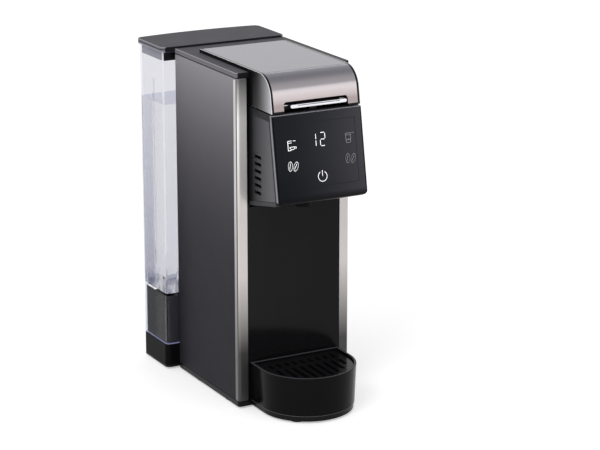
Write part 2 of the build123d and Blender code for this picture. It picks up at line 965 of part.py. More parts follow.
def make_outlet_spout():
    """The short pipe through the head's floor, with a collar that rests on it."""
    low = underside_z(spout_y) - spout_reach
    collar_radius = spout_radius + collar_reach
    collar = underside_z(spout_y - collar_radius, bezel_depth + snug + wall) + moving_gap
    spout = upright(spout_spot, spout_radius, (low, spout_top))
    spout += upright(spout_spot, collar_radius, (collar, collar + collar_sheet))
    return spout - upright(spout_spot, spout_bore, (low - over, spout_top + over))


# Lid

latch_y = front_y(lid_bottom, recess_depth) - latch_barrel_radius - rest_gap
latch_z = lid_bottom + latch_rise
latch_barrel = (latch_y, latch_z)
recess_back = latch_y + latch_barrel_radius + latch_room
lug_room_y = hinge_y - knuckle_radius - lug_room


def skin_plan():
    """The plan of the steel skin, with rounded rear corners."""
    front = -panel_reach - ahead
    return outline([
        (-skin_half, front),
        (skin_half, front),
        (skin_half, skin_rear, skin_corner),
        (-skin_half, skin_rear, skin_corner),
    ])


def recess(grow, y):
    """The handle recess in the lid's front, grown by a wall."""
    low = lid_bottom - over
    top = lid_bottom + skin_lift + recess_height + grow
    edge = recess_half + grow
    face = outline([(-edge, low), (edge, low), (edge, top, recess_corner), (-edge, top, recess_corner)])
    return extrude(Plane.XZ.offset(-y[1]) * face, amount=y[1] - y[0])


def skin_layer(rise, sheet, under):
    """The bent layer that the steel skin fills, rise above its face and sheet below it."""
    low = lid_bottom + skin_lift
    layer = side_slab(lid_side(-rise, low, under, step_y), skin_half)
    layer -= side_slab(lid_side(sheet, low - over, under - over, step_y), skin_half + over)
    return layer & plan_slab(skin_plan(), (low, lid_top + rise + over))


def make_lid_skin():
    """The brushed steel cover, bent over the lid's front, with the handle cut-out."""
    return skin_layer(0, skin_sheet, lid_bottom + skin_lift) - recess(0, (-panel_reach - ahead, latch_y))


def make_lid_body():
    """The lid's moulded shell, rebated for the skin, with the recess lining and hinge knuckles."""
    shell = lid_wall + skin_sheet
    room = head_half - lid_wall
    outer = side_slab(lid_side(0, lid_bottom, lid_rear_bottom, step_y), head_half)
    inner = side_slab(lid_side(shell, lid_bottom - over, lid_rear_bottom - over, step_y), room)
    inner += block((-room, room), (0, step_y + over), (lid_bottom - over, lid_top - lid_core_drop))
    body = outer - inner
    lining_front = front_y(lid_bottom) + lid_wall
    body += recess(lid_wall, (lining_front, recess_back + lid_wall)) & outer
    body -= recess(0, (-panel_reach - ahead, recess_back))
    body -= skin_layer(over, skin_sheet, lid_bottom + skin_lift)
    knuckle = crosswise(hinge, knuckle_radius, knuckle_x)
    knuckle += block(knuckle_x, (hinge_y, lid_rear - over), (hinge_z - knuckle_radius, hinge_z + over))
    knuckle += block(knuckle_x, (hinge_y - knuckle_root, lid_rear - lid_rear_radius),
                     (hinge_z, lid_top - skin_sheet - touch))
    body += both_sides(knuckle)
    body -= crosswise(hinge, hinge_pin_radius + running_gap, (-half, half))
    body -= both_sides(block(pocket_x, (lug_room_y, lid_rear + over),
                             (lid_rear_bottom - over, lid_top - skin_sheet)))
    pin_end = recess_half + latch_pin_hold + touch
    return body - crosswise(latch_barrel, latch_pin_radius + press_gap, (-pin_end, pin_end))


def make_lid_inner_cover():
    """The stepped plate that closes the lid from below and carries the needle."""
    side = head_half - lid_wall - snug
    front = recess_back + lid_wall + snug
    riser_y = (step_y - cover_sheet, step_y)
    cover = block((-side, side), (front, step_y - snug), (cover_low, cover_top))
    cover += block((-side, side), riser_y, (cover_low, rear_cover_top))
    rear = block((-side, side), (riser_y[0], lid_rear - lid_wall - skin_sheet - snug),
                 (rear_cover_top - cover_sheet, rear_cover_top))
    room = block((knuckle_x[0] - over, pocket_x[1]), (lug_room_y, lid_rear + over),
                 (lid_rear_bottom - over, lid_top))
    cover += rear - both_sides(room)
    cover -= upright(pod_spot, needle_radius + running_gap, (cover_low - over, cover_top + over))
    return cover - upright(coupling_spot, lid_tube_radius + running_gap,
                           (lid_rear_bottom - over, rear_cover_top + over))


def make_upper_needle():
    """The hollow steel needle under the lid."""
    tip = lid_bottom - needle_reach
    stem = tip + needle_point
    top = cover_top + needle_flange_sheet
    needle = upright(pod_spot, needle_radius, (stem, cover_top))
    needle += upright(pod_spot, needle_flange, (cover_top, top))
    needle += pointed(pod_spot, needle_point_radius, needle_radius, (tip, stem))
    return needle - upright(pod_spot, needle_bore, (stem + needle_bore, top + over))


def make_needle_seal():
    """The rubber ring round the needle, which presses on the pod."""
    seal = upright(pod_spot, seal_radius, (cover_low - seal_sheet, cover_low))
    seal += upright(pod_spot, seal_lip_radius, (cover_low - seal_lip_height, cover_low))
    return seal - upright(pod_spot, needle_radius + press_gap,
                          (cover_low - seal_lip_height - over, cover_low + over))


def make_lid_water_tube():
    """The tube inside the lid, from the coupling to the needle."""
    high = rear_cover_top + lid_tube_rise
    points = [
        (*coupling_spot, lid_rear_bottom + rest_gap),
        (*coupling_spot, high),
        (*pod_spot, high),
        (*pod_spot, cover_top + needle_flange_sheet + touch),
    ]
    return tube(points, [lid_tube_bend, lid_tube_bend], lid_tube_radius, lid_tube_bore)


def make_hinge_pin():
    """The steel pin of the lid's hinge."""
    return crosswise(hinge, hinge_pin_radius, (-lug_x[1], lug_x[1]))


def make_lid_latch():
    """The handle bar before the recess, its barrel and the tongue that holds the lid shut."""
    bar_z = latch_z + latch_bar_rise
    bar_y = front_y(bar_z) - latch_reach
    face = Pos(0, bar_z) * SlotOverall(2 * latch_half, latch_bar_height)
    bar = extrude(Plane.XZ.offset(-bar_y - latch_bar_sheet) * face, amount=latch_bar_sheet)
    barrel_end = latch_half - latch_barrel_inset
    barrel = crosswise(latch_barrel, latch_barrel_radius, (-barrel_end, barrel_end))
    arm_end = latch_half - latch_arm_inset
    arm = block((arm_end - latch_arm_width, arm_end), (bar_y + latch_bar_sheet / 2, latch_y),
                (bar_z - latch_arm_half, bar_z + latch_arm_half))
    tongue = block((-tongue_half, tongue_half), (latch_y - tongue_front, latch_y + tongue_rear),
                   (chamber_floor + tongue_lift, latch_z))
    latch = bar + barrel + both_sides(arm) + tongue
    return latch - crosswise(latch_barrel, latch_pin_radius + running_gap, (-half, half))


def make_latch_pin():
    """The pin that the latch turns on."""
    pin_end = recess_half + latch_pin_hold
    return crosswise(latch_barrel, latch_pin_radius, (-pin_end, pin_end))


def make_latch_spring():
    """The return spring round the latch pin, drawn as its outer sleeve."""
    x = (latch_half - latch_barrel_inset + rest_gap, recess_half - rest_gap)
    spring = crosswise(latch_barrel, latch_barrel_radius - latch_spring_gap, x)
    return spring - crosswise(latch_barrel, latch_pin_radius + latch_spring_gap, (x[0] - over, x[1] + over))


# Lid switch and water coupling

def make_lid_switch():
    """The small switch under the well that feels the closed lid."""
    x, y = switch_spot
    bore_bottom = well_under - plunger_depth - plunger_travel - hinge_gap
    body = block((x - switch_half, x + switch_half), (y - switch_half_length, y + switch_half_length),
                 (well_under - switch_height, well_under))
    return body - upright(switch_spot, plunger_radius + running_gap, (bore_bottom, well_under + over))


def make_switch_plunger():
    """The switch's plunger, which the lid presses down."""
    return upright(switch_spot, plunger_radius, (well_under - plunger_depth, lid_rear_bottom - side_gap))


def make_water_coupling():
    """The spigot in the well that meets the lid's tube when the lid is shut."""
    top = lid_rear_bottom - rest_gap
    low = well_under - coupling_drop
    spigot = upright(coupling_spot, coupling_radius, (low, top))
    flange_z = (well_under - coupling_flange_sheet, well_under)
    spigot += upright(coupling_spot, coupling_radius + coupling_flange, flange_z)
    return spigot - upright(coupling_spot, coupling_bore, (low - over, top + over))


# Drip tray

def make_drip_tray():
    """The pull-out tray, with a ledge for its grille."""
    rim = Pos(0, 0, tray_rim) * tray_outline(tray_radius)
    foot = Pos(0, 0, tray_floor) * tray_outline(tray_radius - tray_taper)
    tray = loft([foot.face(), rim.face()], ruled=True)
    ledge_z = tray_rim - grille_depth - grille_sheet
    inner = tray_wall + grille_ledge
    upper = tray_outline(tray_radius - tray_wall, tray_rear - tray_wall)
    lower = tray_outline(tray_radius - inner, tray_rear - inner)
    tray -= plan_slab(upper, (ledge_z, tray_rim + over))
    tray -= plan_slab(lower, (tray_floor + wall, tray_rim + over))
    return fillet(tray.faces().sort_by(Axis.Z)[-1].edges(), tray_round)


def make_drip_grille():
    """The lift-out plate that the cup stands on, with rows of slots."""
    top = tray_rim - grille_depth
    plate_z = (top - grille_sheet + touch, top)
    radius = tray_radius - tray_wall - rest_gap
    rear = tray_rear - tray_wall - rest_gap
    grille = plan_slab(tray_outline(radius, rear), plate_z)
    reach = radius - slot_margin
    count = int((reach - grille_rib_half) // slot_pitch)
    for step in range(-count, count + 1):
        x = (step * slot_pitch - slot_width / 2, step * slot_pitch + slot_width / 2)
        front = tray_centre_y - math.sqrt(reach ** 2 - (step * slot_pitch) ** 2)
        slot = block(x, (front, rear - slot_rear_margin), (plate_z[0] - over, top + over))
        grille -= fillet(slot.edges().filter_by(Axis.Z), slot_width / 2 - slot_end_gap)
        grille += block(x, (tray_centre_y - grille_rib_half, tray_centre_y + grille_rib_half), plate_z)
    return grille


# Tank

def make_dock_bridge():
    """The hollow bridge that carries hoses and leads between the body and the dock."""
    duct_half = bridge_half - bridge_side
    outer_half = bridge_half - side_gap
    rear = tank_front + wall
    body_rear = body_depth - wall - snug
    bridge = block((-outer_half, outer_half), (body_rear, rear), (bridge_bottom, duct_top + bridge_sheet))
    duct = block((-duct_half, duct_half), (body_rear - over, rear + over), (duct_bottom, duct_top))
    return bridge, duct


def make_tank_dock():
    """The block under the tank, its plinth, the valve socket and the bridge to the body."""
    dock = plan_slab(tank_outline(), (dock_bottom, dock_top))
    dock -= plan_slab(tank_outline(wall), (dock_bottom, dock_top - wall))
    plinth_inset = tank_wall + moving_gap
    dock += plan_slab(tank_outline(plinth_inset), (dock_top - touch, plinth_top))
    dock -= plan_slab(tank_outline(plinth_inset + wall), (dock_bottom, plinth_top - wall))
    bridge, duct = make_dock_bridge()
    dock = dock + bridge - duct
    stub_end = socket_bottom - socket_floor - socket_stub
    dock += upright(valve, valve_radius + 2 * socket_wall, (socket_bottom - socket_floor, plinth_top))
    dock -= upright(valve, valve_radius + socket_wall, (socket_bottom, plinth_top + over))
    dock += upright(valve, hose_fit, (stub_end, socket_bottom))
    dock -= upright(valve, hose_bore, (stub_end - over, socket_bottom - seal_sheet))
    pin_top = plinth_top - valve_stem_reach - socket_pin_gap
    dock += upright(valve, valve_stem_radius, (socket_bottom, pin_top))
    for spot in around(valve, socket_port_ring, socket_port_count):
        dock -= upright(spot, socket_port_radius, (socket_bottom - bridge_sheet, socket_bottom + over))
    behind = tank_side_rear + 2 * tank_bow
    outer = gland_room + wall
    pad = block((gland_x - outer, gland_x + outer), (gland_y - gland_wall_sheet, behind),
                (dock_bottom, dock_top - wall))
    dock += pad & plan_slab(tank_outline(), (dock_bottom, dock_top))
    dock -= block((gland_x - gland_room, gland_x + gland_room), (gland_y, behind),
                  (dock_bottom - over, dock_top - 2 * wall))
    return dock - lengthwise((gland_x, gland_z), gland_neck + snug,
                             (gland_y - gland_wall_sheet - over, gland_y + over))


def make_dock_cover_plate():
    """The plate that closes the dock from below."""
    plate = plan_slab(tank_outline(), (foot_height, dock_bottom))
    for spot in dock_foot_spots:
        plate -= upright(spot, foot_stem_radius + snug, (0, dock_bottom + over))
    return plate


def make_dock_seal():
    """The rubber ring in the valve socket that the tank's valve presses on."""
    top = socket_bottom + socket_seal_height
    ring = upright(valve, valve_radius + socket_wall - touch, (socket_bottom, top))
    return ring - upright(valve, socket_seal_bore, (socket_bottom - over, top + over))


def make_cord_gland():
    """The gland that the mains lead comes out of, at the back of the dock."""
    spot = (gland_x, gland_z)
    front, rear = gland_y - gland_grip, gland_y + gland_flange_sheet
    gland = lengthwise(spot, gland_neck, (front, gland_y))
    gland += lengthwise(spot, gland_neck + gland_flange, (gland_y, rear))
    return gland - lengthwise(spot, cord_bore, (front - over, rear + over))


def make_tank_shell():
    """The clear tank: walls that also skirt the plinth, a raised floor and a valve hole."""
    tank = plan_slab(tank_outline(), (tank_bottom, tank_top))
    tank -= plan_slab(tank_outline(tank_wall), (tank_bottom - over, tank_floor - tank_wall))
    tank -= plan_slab(tank_outline(tank_wall), (tank_floor, tank_top + over))
    tank += block((tank_left + tank_wall / 2, tank_left + tank_wall + tank_rib_reach),
                  (valve[1] - tank_rib_half, valve[1] + tank_rib_half),
                  (tank_floor, tank_top - tank_rib_drop))
    guard_radius = valve_radius + guard_gap
    guard_top = tank_floor + guard_height
    guard = upright(valve, guard_radius + guard_wall, (tank_floor - tank_wall, guard_top))
    tank += guard - upright(valve, guard_radius, (tank_floor, guard_top + over))
    return tank - upright(valve, valve_nose_radius + tank_hole_gap, (tank_bottom, tank_floor + over))


def make_tank_lid():
    """The tank's lift-off lid, with a skirt that drops inside the walls."""
    plan = tank_outline(-tank_lid_overhang, body_depth + seam + tank_lid_overhang)
    lid = plan_slab(plan, (tank_lid_bottom, tank_lid_top))
    lid = fillet(lid.faces().sort_by(Axis.Z)[-1].edges(), tank_lid_round)
    skirt_bottom = tank_lid_bottom - tank_lid_skirt
    inset = tank_wall + rest_gap
    skirt = plan_slab(tank_outline(inset), (skirt_bottom, tank_lid_bottom))
    skirt -= plan_slab(tank_outline(inset + tank_lid_skirt_sheet), (skirt_bottom - over, tank_lid_bottom))
    return lid + skirt


def make_tank_valve_body():
    """The valve's cage, screwed into the tank's floor, with its stem guide."""
    low = plinth_top - valve_nose_reach
    high = tank_floor + cage_height
    roof = (high - cage_roof - over, high + over)
    cage = upright(valve, valve_radius, (tank_floor, high))
    cage += upright(valve, valve_nose_radius, (low, high))
    cage -= upright(valve, valve_throat, (low - over, tank_floor + over))
    cage -= upright(valve, valve_chamber, (tank_floor + over, high - cage_roof))
    cage -= upright(valve, valve_stem_radius + running_gap, roof)
    for spot in around(valve, cage_hole_ring, cage_hole_count, 45):
        cage -= upright(spot, cage_hole_radius, roof)
    return cage


def make_valve_poppet():
    """The valve's plug, held up off its seat by the dock's pin."""
    seat = tank_floor + valve_plug_lift
    poppet = upright(valve, valve_plug_radius, (seat, seat + valve_plug_sheet))
    stem_z = (plinth_top - valve_stem_reach, tank_floor + valve_stem_rise)
    return poppet + upright(valve, valve_stem_radius, stem_z)


def make_valve_spring():
    """The valve's spring, drawn as its outer sleeve."""
    plug_top = tank_floor + valve_plug_lift + valve_plug_sheet
    low, high = plug_top + touch, tank_floor + cage_height - cage_roof - touch
    spring = upright(valve, spring_radius, (low, high))
    return spring - upright(valve, spring_radius - spring_wall, (low - over, high + over))


def make_tank_filter():
    """The fine mesh cap over the valve."""
    low = tank_floor + side_gap
    high = low + filter_height
    inside = valve_radius + filter_gap
    cap = upright(valve, inside + filter_wall, (low, high))
    cap -= upright(valve, inside, (low - over, high - filter_wall))
    window = Box(2 * (inside + filter_wall + over), filter_window_width, filter_window_height)
    for step in range(filter_window_count):
        turn = Rot(0, 0, 180 * step / filter_window_count)
        cap -= Pos(*valve, low + filter_window_rise) * turn * window
    return cap


# Pump

def make_pump_bracket():
    """The bent steel bridge that carries the pump on the base."""
    x = (works_x - pump_coil / 2, works_x + pump_coil / 2)
    y = (pump_y - bracket_half, pump_y + bracket_half)
    bridge = block(x, y, (pan_floor, pump_floor))
    bridge -= block((x[0] + bracket_sheet, x[1] - bracket_sheet), (y[0] - over, y[1] + over),
                    (pan_floor - over, pump_floor - bracket_sheet))
    bridge += block((x[0], x[0] + bracket_foot), y, (pan_floor, pan_floor + bracket_sheet))
    hole = hose_radius + hose_wall + bracket_hole_gap
    return bridge - upright(pump_spot, hole, (pump_floor - 2 * bracket_sheet, pump_floor + over))


def make_pump_mounts():
    """The rubber grommet under the pump and the ring over it."""
    low = upright(pump_spot, mount_radius, (pump_floor, coil_low))
    low -= upright(pump_spot, hose_fit + touch, (pump_floor - over, coil_low + over))
    high = upright(pump_spot, mount_radius, (coil_high, coil_high + mount_height))
    high -= upright(pump_spot, pump_neck_radius + touch, (coil_high - over, coil_high + mount_height + over))
    return Compound(children=[low, high])


def make_pump_body():
    """The vibration pump: coil block, inlet and outlet stubs, and the bore of its piston."""
    x, y = pump_spot
    reach = pump_coil / 2
    inlet = pump_floor - pump_inlet_drop
    coil = block((x - reach, x + reach), (y - reach, y + reach), (coil_low, coil_high))
    coil = fillet(coil.edges().filter_by(Axis.Z), pump_coil_round)
    coil += upright(pump_spot, hose_fit, (inlet, coil_low))
    coil += upright(pump_spot, pump_neck_radius, (coil_high, coil_high + pump_neck_height))
    coil += upright(pump_spot, pressure_stub, (coil_high, pump_top))
    chamber = (armature_low - piston_room, armature_low + armature_length + piston_room)
    coil -= upright(pump_spot, armature_radius + running_gap, chamber)
    return coil - upright(pump_spot, pump_bore, (inlet - over, pump_top + over))


def make_pump_armature():
    """The iron piston that the coil shakes up and down."""
    high = armature_low + armature_length
    rod = upright(pump_spot, armature_radius, (armature_low, high))
    return rod - upright(pump_spot, pump_bore, (armature_low - over, high + over))


def make_pump_spring():
    """The spring under the piston, drawn as its outer sleeve."""
    low, high = armature_low - piston_room + touch, armature_low - touch
    radius = armature_radius - pump_spring_gap
    sleeve = upright(pump_spot, radius, (low, high))
    return sleeve - upright(pump_spot, radius - pump_spring_wall, (low - over, high + over))


# Flow meter

def make_flow_meter_body():
    """The round chamber that counts the water, with two ports and an axle."""
    port = (works_x, duct_middle)
    reach = meter_radius + port_reach
    inside = (meter_low + meter_sheet, meter_low + meter_height - meter_roof)
    body = upright(meter_spot, meter_radius, (pan_floor, meter_low + meter_height))
    body += lengthwise(port, hose_fit, (meter_y - reach, meter_y + reach))
    body -= upright(meter_spot, meter_radius - wall, inside)
    body -= lengthwise(port, hose_fit - hose_wall, (meter_y - reach - over, meter_y + reach + over))
    return body + upright(meter_spot, axle_radius, (inside[0] - touch, inside[1] + touch))


def make_flow_impeller():
    """The six-bladed wheel inside the flow meter."""
    low = meter_low + meter_sheet + wheel_gap
    high = meter_low + meter_height - meter_roof - wheel_gap
    wheel = upright(meter_spot, hub_radius, (low, high))
    reach = meter_radius - wall - blade_gap
    blade = Box(2 * reach, blade_sheet, high - low - 2 * over)
    for turn in (0, 60, 120):
        wheel += Pos(*meter_spot, (low + high) / 2) * Rot(0, 0, turn) * blade
    return wheel - upright(meter_spot, axle_radius + running_gap, (low - over, high + over))


# Heater

pad_face = boiler_spot[0] + boiler_radius + pad_stand
pad_low = boiler_floor + pad_rise


def make_boiler():
    """The upright heater with its flat pad, its inlet below and its outlet above."""
    tank = upright(boiler_spot, boiler_radius, (boiler_floor, boiler_top))
    tank = fillet(tank.edges().filter_by(GeomType.CIRCLE), boiler_round)
    pad_y = (boiler_spot[1] - pad_half, boiler_spot[1] + pad_half)
    tank += block((pad_face - pad_stand - pad_root, pad_face), pad_y, (pad_low, pad_low + pad_height))
    inlet, outlet = boiler_floor - boiler_stub, boiler_top + boiler_stub
    tank += upright(boiler_spot, pressure_stub, (inlet, boiler_floor + over))
    tank += upright(boiler_spot, coupling_radius, (boiler_top - over, outlet))
    return tank - upright(boiler_spot, boiler_bore, (inlet - over, outlet + over))


def make_boiler_bracket():
    """Two steel bands that hold the heater to the rear panel."""
    bands = []
    x, y = boiler_spot
    rear = body_depth - 2 * wall - snug
    for low in (boiler_floor + band_inset, boiler_top - band_inset - band_height):
        z = (low, low + band_height)
        band = upright(boiler_spot, boiler_radius + bracket_sheet, z)
        band += block((x - band_tab_half, x + band_tab_half), (y + boiler_radius, rear), z)
        bands.append(band - upright(boiler_spot, boiler_radius, (z[0] - over, z[1] + over)))
    return Compound(children=bands)


def make_thermostat():
    """The disc thermostat on the heater's pad."""
    spot = (boiler_spot[1], pad_low + pad_height / 2)
    edge = pad_face + thermostat_sheet
    disc = crosswise(spot, thermostat_radius, (pad_face, edge))
    return disc + crosswise(spot, thermostat_cap_radius, (edge, edge + thermostat_sheet))


def make_thermal_fuse():
    """The one-shot fuse clipped to the heater's wall."""
    x = boiler_spot[0] - boiler_radius - fuse_radius - touch
    middle = (boiler_floor + boiler_top) / 2
    return upright((x, boiler_spot[1]), fuse_radius, (middle - fuse_length / 2, middle + fuse_length / 2))


# Hoses

def make_inlet_hose():
    """The silicone hose from the tank's dock to the flow meter."""
    stub_end = socket_bottom - socket_floor - socket_stub
    points = [
        (*valve, stub_end + hose_lap),
        (*valve, duct_middle),
        (works_x, meter_y + meter_radius + touch, duct_middle),
    ]
    return tube(points, [inlet_bend], hose_radius + hose_wall, hose_radius)


def make_pump_hose():
    """The silicone hose from the flow meter up into the pump."""
    points = [
        (works_x, meter_y - meter_radius - touch, duct_middle),
        (*pump_spot, duct_middle),
        (*pump_spot, pump_floor - pump_inlet_drop + hose_lap),
    ]
    return tube(points, [pump_hose_bend], hose_radius + hose_wall, hose_radius)


def make_pressure_hose():
    """The hose from the pump to the heater."""
    low, high = pump_top - hose_lap, boiler_floor - boiler_stub + hose_lap
    middle = (low + high) / 2
    points = [(*pump_spot, low), (*pump_spot, middle), (*boiler_spot, middle), (*boiler_spot, high)]
    bore = pressure_stub + running_gap
    return tube(points, [hose_bend, hose_bend], bore + pressure_wall, bore)


def make_brew_hose():
    """The hose from the heater to the coupling in the well."""
    low = boiler_top + touch
    high = well_under - coupling_flange_sheet - touch
    middle = (low + high) / 2
    points = [(*boiler_spot, low), (*boiler_spot, middle), (*coupling_spot, middle), (*coupling_spot, high)]
    bore = coupling_radius + running_gap
    return tube(points, [hose_bend, hose_bend], bore + hose_wall, bore)


def make_hose_clamps():
    """Spring clips on the hose ends, each a little way in from the end."""
    soft = hose_radius + hose_wall
    stiff = pressure_stub + running_gap + pressure_wall
    brew = coupling_radius + running_gap + hose_wall
    stub_end = socket_bottom - socket_floor - socket_stub
    clips = []
    for spot, hose, low in [
        (valve, soft, stub_end + clip_setback),
        (pump_spot, soft, pump_floor - pump_inlet_drop + clip_setback),
        (pump_spot, stiff, pump_top - clip_setback - clip_height),
        (boiler_spot, stiff, boiler_floor - boiler_stub + clip_setback),
        (boiler_spot, brew, boiler_top + boiler_stub - clip_setback - clip_height),
        (coupling_spot, brew, well_under - coupling_drop + clip_setback / 2),
    ]:
        inside = hose + running_gap
        clip = upright(spot, inside + clip_sheet, (low, low + clip_height))
        clips.append(clip - upright(spot, inside, (low - over, low + clip_height + over)))
    return Compound(children=clips)


# Power board

def board_screw_spots():
    """The four corners of the power board, as (y, z)."""
    inset = board_screw_inset
    ys = (board_y + inset, board_y + board_length - inset)
    zs = (board_floor + inset, board_floor + board_height - inset)
    return [(y, z) for y in ys for z in zs]


def on_board(place, size):
    """A box on the board's inner face: its lower front corner (y, z) and its size."""
    y, z = board_y + place[0], board_floor + place[1]
    return block((board_x - size[0], board_x), (y, y + size[1]), (z, z + size[2]))


def make_power_board():
    """The mains board with its relay, capacitors, terminal block and cooling fin."""
    board = block((board_x, board_x + board_sheet), (board_y, board_y + board_length),
                  (board_floor, board_floor + board_height))
    for spot in board_screw_spots():
        board -= crosswise(spot, board_screw_radius + rest_gap, (board_x - over, board_x + board_sheet + over))
    board += on_board(relay_place, relay_size)
    board += on_board(terminal_place, terminal_size)
    board += on_board(fin_place, fin_size)
    for y, z in capacitor_places:
        spot = (board_y + y, board_floor + z)
        board += crosswise(spot, capacitor_radius, (board_x - capacitor_depth, board_x))
    return board


def make_board_screws():
    """Four small screws that hold the power board to the side panel."""
    screws = []
    for spot in board_screw_spots():
        head = crosswise(spot, board_screw_head_radius, (board_x - board_screw_head_height, board_x))
        screws.append(head + crosswise(spot, board_screw_radius, (board_x - over, half - wall - seam)))
    return screws


def make_mains_lead():
    """The lead from the gland to the power board's terminal block."""
    x = board_x - terminal_size[0] / 2
    y = board_y + terminal_place[0] + terminal_size[1] / 2
    terminal = board_floor + terminal_place[1]
    points = [
        (gland_x, gland_y - gland_grip - pressure_stub, gland_z),
        (gland_x, y + inlet_bend, gland_z),
        (x, y, gland_z + inlet_bend),
        (x, y, terminal - side_gap),
    ]
    return tube(points, [mains_bend, mains_bend], mains_radius)


def make_signal_lead():
    """The lead from the relay up the side and round the pod chamber to the touch board's plug."""
    x = board_x - relay_size[0] / 2
    y = board_y + signal_radius + relay_place[0]
    head_z = chamber_bottom - switch_height
    plug_z = -panel_height / 2
    points = [
        (x, y, board_floor + relay_place[1] + relay_size[2] + side_gap),
        (x, y, head_z),
        (x - signal_bend, pod_centre_y - signal_bend, head_z),
        panel_plane.from_local_coords((plug_window_width / 2, plug_z + signal_bend, -plug_back - plug_height)),
        panel_plane.from_local_coords((plug_height, plug_z, -plug_back - plug_height)),
        panel_plane.from_local_coords((plug_height, plug_z, -plug_back - touch)),
    ]
    bends = [signal_bend, signal_bend, signal_tight_bend, signal_tight_bend]
    return tube(points, bends, signal_radius)


makers = {
    "base_pan": make_base_pan,
    "rubber_feet": make_rubber_feet,
    "screws": lambda: Compound(children=make_base_screws() + make_board_screws()),
    "side_panel_left": make_side_panel,
    "side_panel_right": make_right_side_panel,
    "trim_strip_left": make_trim_strip,
    "trim_strip_right": lambda: mirror(make_trim_strip(), Plane.YZ),
    "front_column": make_front_column,
    "rear_panel": make_rear_panel,
    "top_deck": make_top_deck,
    "brew_deck": make_brew_deck,
    "head_housing": make_head_housing,
    "head_bottom_cover": make_head_bottom_cover,
    "panel_bezel": make_panel_bezel,
    "control_panel": make_control_panel,
    "touch_board": make_touch_board,
    "pod_holder": make_pod_holder,
    "lower_needle": make_lower_needle,
    "brew_funnel": make_brew_funnel,
    "outlet_spout": make_outlet_spout,
    "lid_skin": make_lid_skin,
    "lid_body": make_lid_body,
    "lid_inner_cover": make_lid_inner_cover,
    "upper_needle": make_upper_needle,
    "needle_seal": make_needle_seal,
    "lid_water_tube": make_lid_water_tube,
    "hinge_pin": make_hinge_pin,
    "lid_latch": make_lid_latch,
    "latch_pin": make_latch_pin,
    "latch_spring": make_latch_spring,
    "lid_switch": make_lid_switch,
    "switch_plunger": make_switch_plunger,
    "water_coupling": make_water_coupling,
    "drip_tray": make_drip_tray,
    "drip_grille": make_drip_grille,
    "tank_dock": make_tank_dock,
    "dock_cover_plate": make_dock_cover_plate,
    "dock_seal": make_dock_seal,
    "cord_gland": make_cord_gland,
    "tank_shell": make_tank_shell,
    "tank_lid": make_tank_lid,
    "tank_valve_body": make_tank_valve_body,
    "valve_poppet": make_valve_poppet,
    "valve_spring": make_valve_spring,
    "tank_filter": make_tank_filter,
    "pump_bracket": make_pump_bracket,
    "pump_mounts": make_pump_mounts,
    "pump_body": make_pump_body,
    "pump_armature": make_pump_armature,
    "pump_spring": make_pump_spring,
    "flow_meter_body": make_flow_meter_body,
    "flow_impeller": make_flow_impeller,
    "boiler": make_boiler,
    "boiler_bracket": make_boiler_bracket,
    "thermostat": make_thermostat,
    "thermal_fuse": make_thermal_fuse,
    "hoses": lambda: Compound(children=[
        make_inlet_hose(), make_pump_hose(), make_pressure_hose(), make_brew_hose(),
    ]),
    "hose_clamps": make_hose_clamps,
    "power_board": make_power_board,
    "wiring_loom": lambda: Compound(children=[make_mains_lead(), make_signal_lead()]),
}

pieces = {name: make() for name, make in makers.items()}
whole = Compound(children=[Compound(children=piece.solids()) for piece in pieces.values()])
footprint = whole.bounding_box()
shift = Pos(-footprint.center().X, -footprint.center().Y, -footprint.min.Z)

os.makedirs("parts", exist_ok=True)
for name, piece in pieces.items():
    placed = Compound(children=[shift * solid for solid in piece.solids()])
    placed.label = name
    export_step(placed, f"parts/{name}.step")
print(len(pieces), "nodes, shift", shift.position)
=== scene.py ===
import json
import math

import bmesh
import bpy
from mathutils import Matrix, Vector

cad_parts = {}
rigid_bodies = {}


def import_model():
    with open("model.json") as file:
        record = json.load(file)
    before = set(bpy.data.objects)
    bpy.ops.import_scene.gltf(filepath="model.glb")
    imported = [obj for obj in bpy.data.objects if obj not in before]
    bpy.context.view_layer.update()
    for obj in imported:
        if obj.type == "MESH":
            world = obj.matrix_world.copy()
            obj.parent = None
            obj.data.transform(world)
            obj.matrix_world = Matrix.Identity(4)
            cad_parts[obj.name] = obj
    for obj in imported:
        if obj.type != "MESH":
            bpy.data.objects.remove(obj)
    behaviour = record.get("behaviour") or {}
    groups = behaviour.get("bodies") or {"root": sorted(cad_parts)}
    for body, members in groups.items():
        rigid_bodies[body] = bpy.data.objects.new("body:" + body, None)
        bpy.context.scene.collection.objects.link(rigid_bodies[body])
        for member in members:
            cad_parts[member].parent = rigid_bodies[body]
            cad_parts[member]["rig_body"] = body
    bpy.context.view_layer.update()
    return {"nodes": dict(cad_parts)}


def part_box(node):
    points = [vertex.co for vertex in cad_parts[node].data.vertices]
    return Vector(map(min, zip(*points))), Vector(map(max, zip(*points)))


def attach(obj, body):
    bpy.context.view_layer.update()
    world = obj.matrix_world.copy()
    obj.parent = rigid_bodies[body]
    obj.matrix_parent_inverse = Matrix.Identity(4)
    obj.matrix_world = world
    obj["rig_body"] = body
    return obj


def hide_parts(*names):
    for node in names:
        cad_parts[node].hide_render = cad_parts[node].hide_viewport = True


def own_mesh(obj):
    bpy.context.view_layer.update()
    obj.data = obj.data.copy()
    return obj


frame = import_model()
scene = bpy.context.scene
scene.view_settings.view_transform = "Standard"

